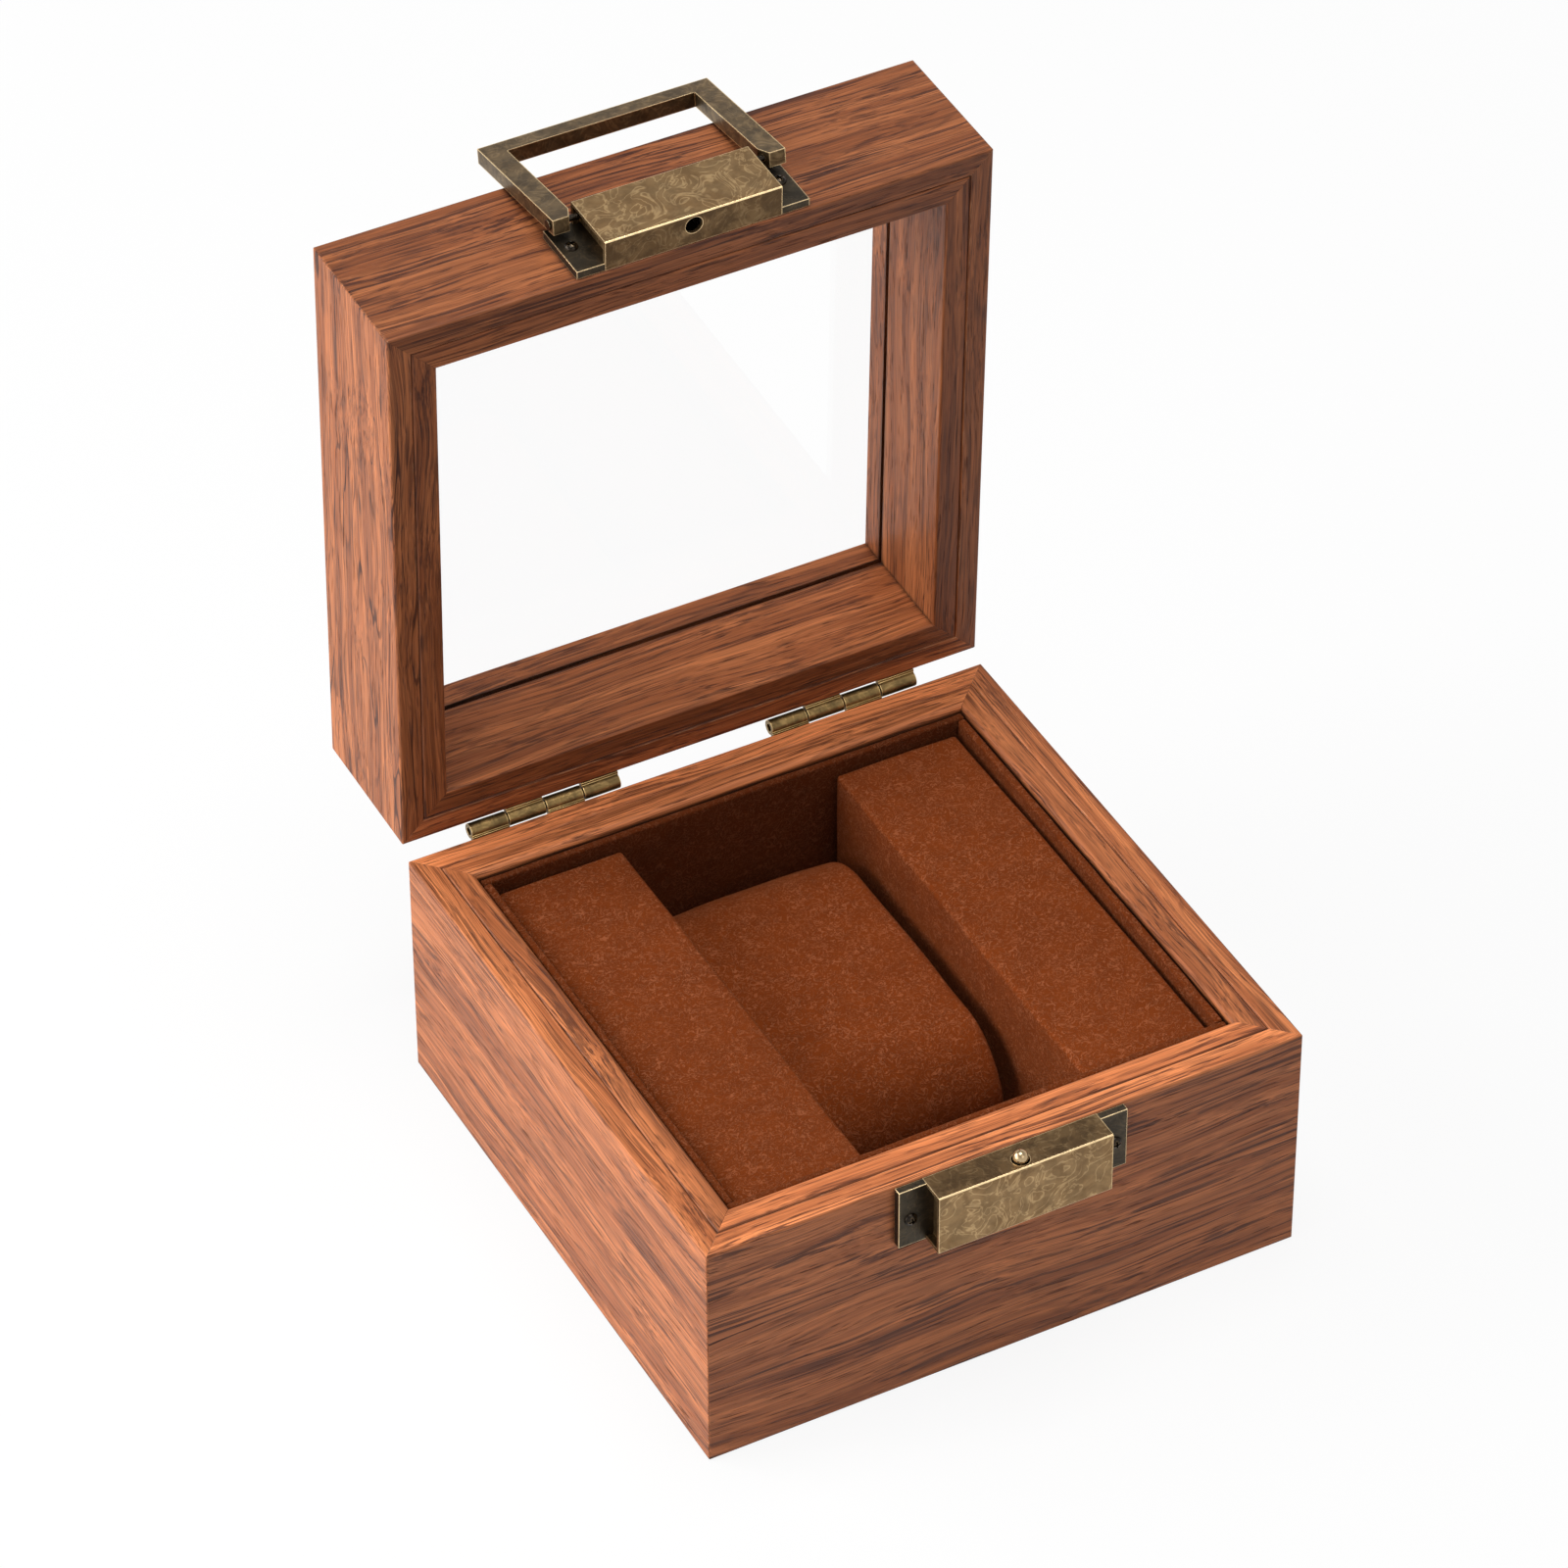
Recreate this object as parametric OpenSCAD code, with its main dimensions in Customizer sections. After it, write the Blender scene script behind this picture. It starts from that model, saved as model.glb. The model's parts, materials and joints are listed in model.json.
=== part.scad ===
// Watch display box of mitred hardwood: a padded base with a loose watch pillow,
// a window lid on two hinges, and a two-part catch with a folding bail handle.
// Origin at the centre of the underside, +Z up, the catch toward -Y.

/* [Box] */
// Outside width, left to right
box_w = 120; // [105:1:180]
// Outside depth, front to back
box_d = 118; // [105:1:180]
// Height of the base, underside to rim
base_h = 50; // [48:1:70]
// Height of the lid, rim to top
lid_h = 30; // [28:1:45]
// Gap between the two rims when the lid is shut
closing_gap = 0.25; // [0.15:0.05:0.5]
// Angle at which the lid stands open
open_angle = 88.2; // [70:0.1:95]

/* [Boards] */
// Thickness of the outer walls
wall_t = 4.6; // [4:0.1:6]
// Thickness of the lining strips inside the walls
lining_t = 4.8; // [4:0.1:6]
// Chamfer on both sides of the seam between wall and lining
seam_chamfer = 0.3; // [0.1:0.05:0.5]
// Rounding of the outer edges of the box
edge_round = 0.5; // [0.3:0.1:1]
// Rounding of the inner edge of the base rim
rim_round = 1.2; // [0.5:0.1:2]
// Rounding of the inner edge of the lid rim
lid_rim_round = 0.5; // [0.3:0.1:1.5]

/* [Window] */
// Thickness of the clear pane
pane_t = 1.5; // [1:0.1:2]
// Play round the edge of the pane
pane_gap = 0.4; // [0.2:0.1:0.8]
// Height of the ledge that the pane rests against, pane to top of the lid
ledge_h = 8.1; // [6:0.1:10]
// Chamfer round the window on the top of the lid
window_chamfer = 2.8; // [1:0.1:4]

/* [Bottom] */
// Thickness of the bottom panel
bottom_t = 3; // [2:0.1:4]
// Thickness of the felt under the bottom panel
felt_t = 0.8; // [0.5:0.1:1.5]
// Depth of the rebate in the walls that takes the bottom panel
rebate_d = 2.3; // [1.5:0.1:3]

/* [Suede liner] */
// Thickness of the suede-wrapped boards
liner_t = 1.7; // [1.4:0.1:2.5]
// Gap between the boards and the lining
liner_gap = 0.3; // [0.2:0.05:0.5]
// How far the boards stop below the rim
liner_drop = 1; // [0.6:0.1:2]
// Thickness of the padded floor card
floor_t = 2.7; // [1.5:0.1:4]

/* [Pads and pillow] */
// Width of the channel between the two pads
channel_w = 44; // [42:0.5:52]
// Gap between a pad and the liner boards
pad_gap = 0.4; // [0.2:0.1:0.8]
// How far the tops of the pads lie below the rim
pad_drop = 3; // [2:0.5:8]
// Rounding of the edges of the pads
pad_round = 0.8; // [0.5:0.1:2]
// Width of the pillow, across the channel
pillow_w = 40.8; // [36:0.1:41]
// Length of the pillow, front to back
pillow_l = 71; // [60:1:75]
// Height of the pillow
pillow_h = 30; // [26:0.5:34]
// Rounding of the edges of the pillow
pillow_round = 1.8; // [1:0.1:3]
// How far the flat ends of the pillow belly out
pillow_crown = 0.4; // [0.2:0.1:1]
// Gap between the pillow and the left pad
pillow_side_gap = 0.4; // [0.3:0.1:1]
// Gap between the pillow and the back liner board
pillow_back_gap = 2.1; // [1:0.1:5]

/* [Hinges] */
// Length of a hinge
hinge_l = 31; // [24:1:40]
// Distance of the outer end of a hinge from the side of the box
hinge_inset = 13.3; // [6:0.1:18]
// Distance of the hinge pin behind the back of the box
pin_back = 2; // [1.8:0.1:2.6]
// Radius of the hinge barrel
barrel_r = 1.5; // [1.4:0.05:1.7]
// Radius of the hinge pin
pin_r = 0.75; // [0.5:0.05:0.9]
// How far the ends of the hinge pin lie inside the open ends of the barrel
pin_recess = 0.9; // [0.2:0.1:1.5]
// Knuckles on each hinge, shared by its two leaves
knuckles = 4; // [2:2:8]
// Gap between neighbouring knuckles
knuckle_gap = 0.3; // [0.2:0.05:0.4]
// Thickness of a leaf
leaf_t = 0.9; // [0.7:0.05:1.1]
// Height of a leaf
leaf_h = 10; // [9:0.5:14]
// Distance of the screws from the middle of a hinge
leaf_screw_x = 9; // [7:0.5:10]

/* [Catch] */
// Width of the two catch plates
plate_w = 46; // [43:0.5:60]
// Height of the two catch plates
plate_h = 13.2; // [12:0.1:16]
// Thickness of the two catch plates
plate_t = 1.6; // [0.8:0.1:1.8]
// Width of the two cases
case_w = 35; // [30:0.5:37]
// Height of the two cases
case_h = 12.8; // [12.4:0.1:13.2]
// How far the cases stand out from their plates
case_d = 4.6; // [4.3:0.05:6]
// Sheet thickness of the cases
case_t = 0.7; // [0.5:0.05:0.8]
// How far the end tabs of the cases are set in
tab_inset = 1.5; // [1:0.1:2.5]
// Distance of the base catch below the base rim
catch_drop = 0.3; // [0.2:0.1:1]
// Distance of the lid catch from the lid rim
catch_rise = 0.5; // [0.2:0.1:0.9]
// Distance of a wing screw from the outer end of its plate
wing_screw_x = 2.4; // [2.2:0.1:4]
// Distance of a wing screw from the rim of its box half
wing_screw_z = 7.4; // [6:0.1:8]

/* [Stud and clip] */
// Radius of the round head of the stud
stud_r = 1.45; // [1.2:0.05:1.6]
// Height of the middle of that head above the base case
stud_rise = 0.5; // [0.3:0.1:0.8]
// Radius of the stem of the stud
stem_r = 0.9; // [0.7:0.1:1]
// Distance of the stud from the front of the box
stud_y = 3.9; // [3.6:0.1:4]
// Gap round the head of the stud, in the hole and the clip
stud_gap = 0.25; // [0.2:0.05:0.4]
// Thickness of the spring clip
clip_t = 0.4; // [0.3:0.05:0.6]
// Height of the spring clip
clip_h = 7.5; // [5:0.5:9]

/* [Bail handle] */
// Width of the bail over its two arms
bail_w = 46; // [43:0.5:60]
// Length of the bail over its crossbar and the ends of its arms
bail_l = 30.2; // [30:0.1:34]
// Width of an arm
arm_w = 4.3; // [3:0.1:4.4]
// Width of the crossbar
crossbar_w = 3.5; // [3:0.05:4]
// Thickness of the bar
bail_t = 3; // [2.2:0.05:3.2]
// Distance of the pivot from the ends of the arms
pivot_end = 1.6; // [1.2:0.1:1.8]
// Height of the pivot above the lid rim
pivot_z = 11.2; // [10.8:0.1:11.6]
// How far the bail leans toward the lid at rest
bail_lean = 8.5; // [5:0.5:9]
// Radius of the pivot pins
pivot_r = 0.6; // [0.5:0.05:0.6]
// Radius of the heads of the pivot pins
pivot_head_r = 1; // [0.8:0.1:1.2]
// Thickness of those heads
pivot_head_t = 0.4; // [0.3:0.1:0.8]
// Sideways cut on the inner corner of the end of an arm
arm_cut_x = 1.1; // [0.5:0.1:1.5]
// Lengthwise cut on the inner corner of the end of an arm
arm_cut_z = 2.5; // [1:0.1:3]

/* [Screws] */
// Radius of a screw head
head_r = 1.3; // [1:0.05:1.4]
// Height of a screw head
head_h = 0.9; // [0.6:0.05:1]
// Radius of a screw shank
shank_r = 0.8; // [0.6:0.05:1]
// Length of a screw shank
shank_l = 4.2; // [3:0.1:4.5]
// Running clearance of pins and screws in their holes, on the radius
hole_gap = 0.05; // [0.03:0.01:0.1]

/* [Hidden] */
$fn = 48;
wood_left = "#a8694a";
wood_front = "#7d4a33";
suede = "#7d411e";
brass = "#8a7040";
reach = 1;
rim_w = wall_t + lining_t;
panel_top = felt_t + bottom_t;
floor_top = panel_top + floor_t;
liner_top = base_h - liner_drop;
liner_back = rim_w + liner_gap;
liner_face = liner_back + liner_t;
liner_round = liner_t * 0.4;
pad_top = base_h - pad_drop;
pad_w = box_w / 2 - liner_face - pad_gap - channel_w / 2;
pad_x = (channel_w + pad_w) / 2;
pad_l = box_d - 2 * (liner_face + pad_gap);
pillow_r = pillow_h / 2;
pillow_x = -channel_w / 2 + pillow_side_gap + pillow_w / 2;
pillow_y = box_d / 2 - liner_face - pillow_back_gap - pillow_l / 2;
lid_z = base_h + closing_gap;
pane_z = lid_h - ledge_h - pane_t;
hinge_x = box_w / 2 - hinge_inset - hinge_l / 2;
hinge_y = box_d / 2 + pin_back;
hinge_z = base_h + closing_gap / 2;
leaf_edge = closing_gap / 2;
knuckle_l = hinge_l / knuckles;
leaf_margin = 1.4;
leaf_screw_z = leaf_h - head_r - leaf_margin;
barrel_clear = 0.25;
web_h = barrel_r * 0.8;
case_front = plate_t + case_d;
stud_z = base_h - catch_drop + stud_rise;
hole_r = stud_r + stud_gap;
pivot_y = case_front - bail_t / 2;
pin_in = case_w / 2 - tab_inset - case_t;
wing_x = plate_w / 2 - wing_screw_x;
recess_w = head_r * 0.28;
recess_l = head_r * 1.2;
recess_floor = head_h * 0.55;
foot_r = stem_r + 0.4;
foot_h = 0.6;

// Moves what is drawn in the shut position to the open lid
module on_open_lid() {
    translate([0, hinge_y, hinge_z])
        rotate([-open_angle, 0, 0])
            translate([0, -hinge_y, -hinge_z])
                children();
}

// The same, with z = 0 on the lid rim
module on_lid() {
    on_open_lid()
        translate([0, 0, lid_z])
            children();
}

// Turns a board drawn along the front, outer face on y = 0, to a side of the box
module on_front(inset) {
    translate([0, -box_d / 2 + inset, 0])
        children();
}

module on_right(inset) {
    rotate([0, 0, 90])
        translate([0, -box_w / 2 + inset, 0])
            children();
}

module on_back(inset) {
    rotate([0, 0, 180])
        translate([0, -box_d / 2 + inset, 0])
            children();
}

module on_left(inset) {
    rotate([0, 0, -90])
        translate([0, -box_w / 2 + inset, 0])
            children();
}

// What a quarter-round of radius r takes off a corner at the origin of a shape in x > 0, y > 0
module round_cut(r) {
    difference() {
        translate([-reach, -reach])
            square(r + reach);
        translate([r, r])
            circle(r);
    }
}

// What a 45 degree chamfer takes off the same corner
module chamfer_cut(c) {
    polygon([[-reach, -reach], [c + reach, -reach], [-reach, c + reach]]);
}

// A board of profile children() in (y, z), mitred at both ends, with its outer corners rounded in plan
module mitred_board(len, deep, high, corner) {
    intersection() {
        linear_extrude(high)
            difference() {
                polygon([[-len / 2, 0], [len / 2, 0], [len / 2 - deep, deep], [deep - len / 2, deep]]);
                if (corner > 0)
                    for (s = [-1, 1])
                        scale([s, 1])
                            translate([-len / 2, 0])
                                round_cut(corner);
            }
        rotate([90, 0, 90])
            linear_extrude(len, center = true)
                children();
    }
}

module base_wall_profile() {
    difference() {
        square([wall_t, base_h]);
        translate([wall_t - rebate_d, -reach])
            square([rebate_d + reach, panel_top + reach]);
        round_cut(edge_round);
        translate([0, base_h])
            scale([1, -1])
                round_cut(edge_round);
        translate([wall_t, base_h])
            scale([-1, -1])
                chamfer_cut(seam_chamfer);
    }
}

module base_lining_profile() {
    difference() {
        translate([0, panel_top])
            square([lining_t, base_h - panel_top]);
        translate([0, base_h])
            scale([1, -1])
                chamfer_cut(seam_chamfer);
        translate([lining_t, base_h])
            scale([-1, -1])
                round_cut(rim_round);
    }
}

// Outer board of the lid: the ledge at its top turns in over the pane
module lid_wall_profile() {
    difference() {
        union() {
            square([wall_t, lid_h]);
            translate([0, lid_h - ledge_h])
                square([rim_w, ledge_h]);
        }
        round_cut(edge_round);
        translate([wall_t, 0])
            scale([-1, 1])
                chamfer_cut(seam_chamfer);
        translate([0, lid_h])
            scale([1, -1])
                round_cut(edge_round);
        translate([rim_w, lid_h])
            scale([-1, -1])
                chamfer_cut(window_chamfer);
    }
}

module lid_lining_profile() {
    difference() {
        square([lining_t, pane_z]);
        chamfer_cut(seam_chamfer);
        translate([lining_t, 0])
            scale([-1, 1])
                round_cut(lid_rim_round);
    }
}

module base_wall(len) {
    mitred_board(len, wall_t, base_h, edge_round)
        base_wall_profile();
}

module base_lining(len) {
    mitred_board(len - 2 * wall_t, lining_t, base_h, 0)
        base_lining_profile();
}

module lid_wall(len) {
    mitred_board(len, rim_w, lid_h, edge_round)
        lid_wall_profile();
}

module lid_lining(len) {
    mitred_board(len - 2 * wall_t, lining_t, lid_h, 0)
        lid_lining_profile();
}

// Dome-headed wood screw with a cross recess: the head sits on z = 0, the shank points down
module wood_screw() {
    dome_r = (head_r * head_r + head_h * head_h) / (2 * head_h);
    difference() {
        union() {
            intersection() {
                cylinder(h = head_h, r = head_r);
                translate([0, 0, head_h - dome_r])
                    sphere(dome_r);
            }
            translate([0, 0, -shank_l])
                cylinder(h = shank_l + head_h / 4, r = shank_r);
        }
        for (turn = [0, 90])
            rotate([0, 0, turn])
                translate([-recess_l / 2, -recess_w / 2, recess_floor])
                    cube([recess_l, recess_w, head_h]);
    }
}

// Where the wing screws of a catch go: z counted from the rim, away from the other half
module at_wing_screws() {
    for (s = [-1, 1])
        translate([s * wing_x, -box_d / 2 - plate_t, wing_screw_z])
            rotate([90, 0, 0])
                children();
}

// Where the leaf screws go on the back of a box half: z counted from the pin
module at_leaf_screws() {
    for (side = [-1, 1])
        for (s = [-1, 1])
            translate([side * hinge_x + s * leaf_screw_x, box_d / 2 + leaf_t, leaf_screw_z])
                rotate([-90, 0, 0])
                    children();
}

module screw_hole(depth, gap) {
    translate([0, 0, -depth])
        cylinder(h = depth + reach, r = shank_r + gap);
}

// The base half counts the same distances downward
module downward(from_z) {
    translate([0, 0, from_z])
        mirror([0, 0, 1])
            children();
}

module base_front_wall() {
    color(wood_front)
        difference() {
            on_front(0)
                base_wall(box_w);
            downward(base_h)
                at_wing_screws()
                    screw_hole(shank_l, hole_gap);
        }
}

module base_back_wall() {
    color(wood_front)
        difference() {
            on_back(0)
                base_wall(box_w);
            downward(hinge_z)
                at_leaf_screws()
                    screw_hole(shank_l, hole_gap);
        }
}

module base_left_wall() {
    color(wood_left)
        on_left(0)
            base_wall(box_d);
}

module base_right_wall() {
    color(wood_left)
        on_right(0)
            base_wall(box_d);
}

module base_front_lining() {
    color(wood_left)
        on_front(wall_t)
            base_lining(box_w);
}

module base_back_lining() {
    color(wood_left)
        on_back(wall_t)
            base_lining(box_w);
}

module base_left_lining() {
    color(wood_left)
        on_left(wall_t)
            base_lining(box_d);
}

module base_right_lining() {
    color(wood_left)
        on_right(wall_t)
            base_lining(box_d);
}

// Plate or sheet of the outline that the rebate of the walls leaves
module rebate_sheet(low, high) {
    inset = wall_t - rebate_d;
    translate([inset - box_w / 2, inset - box_d / 2, low])
        cube([box_w - 2 * inset, box_d - 2 * inset, high - low]);
}

module base_bottom_panel() {
    color("#b08a60")
        rebate_sheet(felt_t, panel_top);
}

module base_felt() {
    color("#2b2220")
        rebate_sheet(0, felt_t);
}

// Suede-wrapped board with both top edges rounded over
module liner_board(len) {
    translate([-len / 2, 0, 0])
        rotate([90, 0, 90])
            linear_extrude(len)
                difference() {
                    translate([0, panel_top])
                        square([liner_t, liner_top - panel_top]);
                    for (s = [0, 1])
                        translate([s * liner_t, liner_top])
                            scale([1 - 2 * s, -1])
                                round_cut(liner_round);
                }
}

module liner_front_board() {
    color(suede)
        on_front(liner_back)
            liner_board(box_w - 2 * liner_back);
}

module liner_back_board() {
    color(suede)
        on_back(liner_back)
            liner_board(box_w - 2 * liner_back);
}

module liner_left_board() {
    color(suede)
        on_left(liner_back)
            liner_board(box_d - 2 * liner_face);
}

module liner_right_board() {
    color(suede)
        on_right(liner_back)
            liner_board(box_d - 2 * liner_face);
}

module liner_floor() {
    color(suede)
        translate([liner_face - box_w / 2, liner_face - box_d / 2, panel_top])
            cube([box_w - 2 * liner_face, box_d - 2 * liner_face, floor_t]);
}

// Suede-covered block: its long top edges and its ends are rounded over
module pad_block() {
    high = pad_top - floor_top;
    intersection() {
        rotate([90, 0, 0])
            linear_extrude(pad_l, center = true)
                difference() {
                    translate([-pad_w / 2, 0])
                        square([pad_w, high]);
                    for (s = [-1, 1])
                        translate([s * pad_w / 2, high])
                            scale([-s, -1])
                                round_cut(pad_round);
                }
        rotate([90, 0, 90])
            linear_extrude(pad_w, center = true)
                difference() {
                    translate([-pad_l / 2, 0])
                        square([pad_l, high]);
                    for (s = [-1, 1])
                        translate([s * pad_l / 2, high])
                            scale([-s, -1])
                                round_cut(pad_round);
                }
        linear_extrude(high)
            difference() {
                square([pad_w, pad_l], center = true);
                for (sx = [-1, 1])
                    for (sy = [-1, 1])
                        translate([sx * pad_w / 2, sy * pad_l / 2])
                            scale([-sx, -sy])
                                round_cut(pad_round);
            }
    }
}

module left_pad() {
    color(suede)
        translate([-pad_x, 0, floor_top])
            pad_block();
}

module right_pad() {
    color(suede)
        translate([pad_x, 0, floor_top])
            pad_block();
}

// Half outline of one end of the pillow: straight rim, rounded edge, and a crowned flat end
module pillow_half() {
    half = pillow_w / 2 - pillow_crown;
    edge_x = pillow_r - pillow_round;
    crown_r = (edge_x * edge_x + pillow_crown * pillow_crown) / (2 * pillow_crown);
    crown_turn = asin(edge_x / crown_r);
    rounding = [for (k = [0:3]) [
        edge_x + pillow_round * cos(k * 28),
        half - pillow_round + pillow_round * sin(k * 28)]];
    crown = [for (k = [3:-1:0]) [
        crown_r * sin(crown_turn * k / 4),
        half + pillow_crown - crown_r * (1 - cos(crown_turn * k / 4))]];
    polygon(concat([[0, 0], [pillow_r, 0]], rounding, crown));
}

// Cuff of flattened round section: two crowned rollers joined by hull, resting on their flats
module watch_pillow() {
    roller_y = pillow_l / 2 - pillow_r;
    color(suede)
        translate([pillow_x, pillow_y, floor_top + pillow_r])
            hull() {
                for (sy = [-1, 1])
                    for (sx = [-1, 1])
                        translate([0, sy * roller_y, 0])
                            rotate([0, sx * 90, 0])
                                rotate_extrude($fn = 40)
                                    pillow_half();
            }
}

// Plate on the front face with two screw holes, z counted from the rim
module catch_plate(low) {
    difference() {
        translate([-plate_w / 2, -box_d / 2 - plate_t, low])
            cube([plate_w, plate_t, plate_h]);
        at_wing_screws()
            screw_hole(plate_t + reach, hole_gap);
    }
}

// Folded case open toward its plate, with end tabs set in, z counted from the rim
module catch_case(low) {
    inner_h = case_h - 2 * case_t;
    inner_d = case_d - case_t;
    tab_x = case_w / 2 - tab_inset;
    translate([0, -box_d / 2 - plate_t, low])
        difference() {
            rotate([90, 0, 90])
                linear_extrude(case_w, center = true)
                    difference() {
                        translate([-case_d, 0])
                            square([case_d, case_h]);
                        for (s = [0, 1])
                            translate([-case_d, s * case_h])
                                scale([1, 1 - 2 * s])
                                    round_cut(case_t / 2);
                    }
            translate([case_t - tab_x, -inner_d, case_t])
                cube([2 * (tab_x - case_t), inner_d + reach, inner_h]);
            for (s = [-1, 1])
                translate([s * (tab_x + case_w / 2), -inner_d / 2 + reach / 2, case_h / 2])
                    cube([case_w, inner_d + reach, inner_h], center = true);
        }
}

module base_catch_plate() {
    color(brass)
        downward(base_h)
            catch_plate(catch_drop);
}

module base_catch_case() {
    color(brass)
        difference() {
            downward(base_h)
                catch_case(catch_drop);
            translate([0, -box_d / 2 - stud_y, base_h - catch_drop - case_t - reach])
                cylinder(h = case_t + 2 * reach, r = hole_r);
        }
}

// Round-headed stud on a stem that stands on the lower wall of the base case
module catch_stud() {
    foot_z = base_h - catch_drop - case_h + case_t;
    color(brass)
        translate([0, -box_d / 2 - stud_y, 0]) {
            translate([0, 0, stud_z])
                sphere(stud_r);
            translate([0, 0, foot_z])
                cylinder(h = stud_z - foot_z, r = stem_r);
            translate([0, 0, foot_z])
                cylinder(h = foot_h, r = foot_r);
        }
}

module base_catch_screws() {
    color(brass)
        downward(base_h)
            at_wing_screws()
                wood_screw();
}

module lid_catch_plate() {
    color(brass)
        on_lid()
            catch_plate(catch_rise);
}

module lid_catch_case() {
    color(brass)
        on_lid()
            difference() {
                catch_case(catch_rise);
                translate([0, -box_d / 2 - stud_y, catch_rise - reach])
                    cylinder(h = case_t + 2 * reach, r = hole_r);
                translate([0, -box_d / 2 - pivot_y, pivot_z])
                    rotate([0, 90, 0])
                        cylinder(h = case_w + reach, r = pivot_r + hole_gap, center = true);
            }
}

module lid_catch_screws() {
    color(brass)
        on_lid()
            at_wing_screws()
                wood_screw();
}

// Spring strip bent to a U: its arms stand beside the hole, its bridge lies deeper in the case
module catch_clip() {
    arm_in = stud_r + stud_gap;
    strip_w = case_d - case_t - hole_gap;
    color("#5b4a2c")
        on_lid()
            translate([0, -box_d / 2 - plate_t - strip_w, catch_rise + case_t])
                difference() {
                    translate([-arm_in - clip_t, 0, 0])
                        cube([2 * (arm_in + clip_t), strip_w, clip_h]);
                    translate([-arm_in, -reach, -reach])
                        cube([2 * arm_in, strip_w + 2 * reach, clip_h - clip_t + reach]);
                }
}

// One leaf on the back of the box: z counted from the pin, pin along x, first knuckle at the left
module hinge_leaf(first) {
    notch_h = barrel_r + barrel_clear;
    difference() {
        union() {
            translate([-hinge_l / 2, 0, leaf_edge])
                cube([hinge_l, leaf_t, leaf_h - leaf_edge]);
            for (k = [first:2:knuckles - 1])
                translate([knuckle_l * k - hinge_l / 2 + knuckle_gap / 2, 0, 0]) {
                    translate([0, 0, leaf_edge])
                        cube([knuckle_l - knuckle_gap, pin_back, web_h - leaf_edge]);
                    translate([0, pin_back, 0])
                        rotate([0, 90, 0])
                            cylinder(h = knuckle_l - knuckle_gap, r = barrel_r);
                }
        }
        for (k = [1 - first:2:knuckles - 1])
            translate([knuckle_l * k - hinge_l / 2 - knuckle_gap / 2, -reach, -reach])
                cube([knuckle_l + knuckle_gap, leaf_t + 2 * reach, notch_h + reach]);
        translate([0, pin_back, 0])
            rotate([0, 90, 0])
                cylinder(h = hinge_l + reach, r = pin_r + hole_gap, center = true);
    }
}

module leaf_with_holes(side, first) {
    difference() {
        translate([side * hinge_x, box_d / 2, 0])
            hinge_leaf(first);
        at_leaf_screws()
            screw_hole(leaf_t + reach, hole_gap);
    }
}

module hinge_pin(side) {
    color(brass)
        translate([side * hinge_x, hinge_y, hinge_z])
            rotate([0, 90, 0])
                cylinder(h = hinge_l - knuckle_gap - 2 * pin_recess, r = pin_r, center = true);
}

module left_hinge_base_leaf() {
    color(brass)
        downward(hinge_z)
            leaf_with_holes(-1, 0);
}

module right_hinge_base_leaf() {
    color(brass)
        downward(hinge_z)
            leaf_with_holes(1, 0);
}

module left_hinge_lid_leaf() {
    color(brass)
        on_open_lid()
            translate([0, 0, hinge_z])
                leaf_with_holes(-1, 1);
}

module right_hinge_lid_leaf() {
    color(brass)
        on_open_lid()
            translate([0, 0, hinge_z])
                leaf_with_holes(1, 1);
}

module left_hinge_pin() {
    hinge_pin(-1);
}

module right_hinge_pin() {
    hinge_pin(1);
}

module hinge_base_screws() {
    color(brass)
        downward(hinge_z)
            at_leaf_screws()
                wood_screw();
}

module hinge_lid_screws() {
    color(brass)
        on_open_lid()
            translate([0, 0, hinge_z])
                at_leaf_screws()
                    wood_screw();
}

module lid_front_wall() {
    color(wood_front)
        on_lid()
            difference() {
                on_front(0)
                    lid_wall(box_w);
                at_wing_screws()
                    screw_hole(shank_l, hole_gap);
            }
}

module lid_back_wall() {
    color(wood_front)
        on_open_lid()
            difference() {
                translate([0, 0, lid_z])
                    on_back(0)
                        lid_wall(box_w);
                translate([0, 0, hinge_z])
                    at_leaf_screws()
                        screw_hole(shank_l, hole_gap);
            }
}

module lid_left_wall() {
    color(wood_left)
        on_lid()
            on_left(0)
                lid_wall(box_d);
}

module lid_right_wall() {
    color(wood_left)
        on_lid()
            on_right(0)
                lid_wall(box_d);
}

module lid_front_lining() {
    color(wood_left)
        on_lid()
            on_front(wall_t)
                lid_lining(box_w);
}

module lid_back_lining() {
    color(wood_left)
        on_lid()
            on_back(wall_t)
                lid_lining(box_w);
}

module lid_left_lining() {
    color(wood_left)
        on_lid()
            on_left(wall_t)
                lid_lining(box_d);
}

module lid_right_lining() {
    color(wood_left)
        on_lid()
            on_right(wall_t)
                lid_lining(box_d);
}

module window_pane() {
    inset = wall_t + pane_gap;
    color("#cfe3e8", 0.35)
        on_lid()
            translate([inset - box_w / 2, inset - box_d / 2, pane_z])
                cube([box_w - 2 * inset, box_d - 2 * inset, pane_t]);
}

// Puts z = 0 on the pivot of the bail, with the bail leaning toward the lid
module on_bail() {
    on_lid()
        translate([0, -box_d / 2 - pivot_y, pivot_z])
            rotate([-bail_lean, 0, 0])
                children();
}

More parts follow.
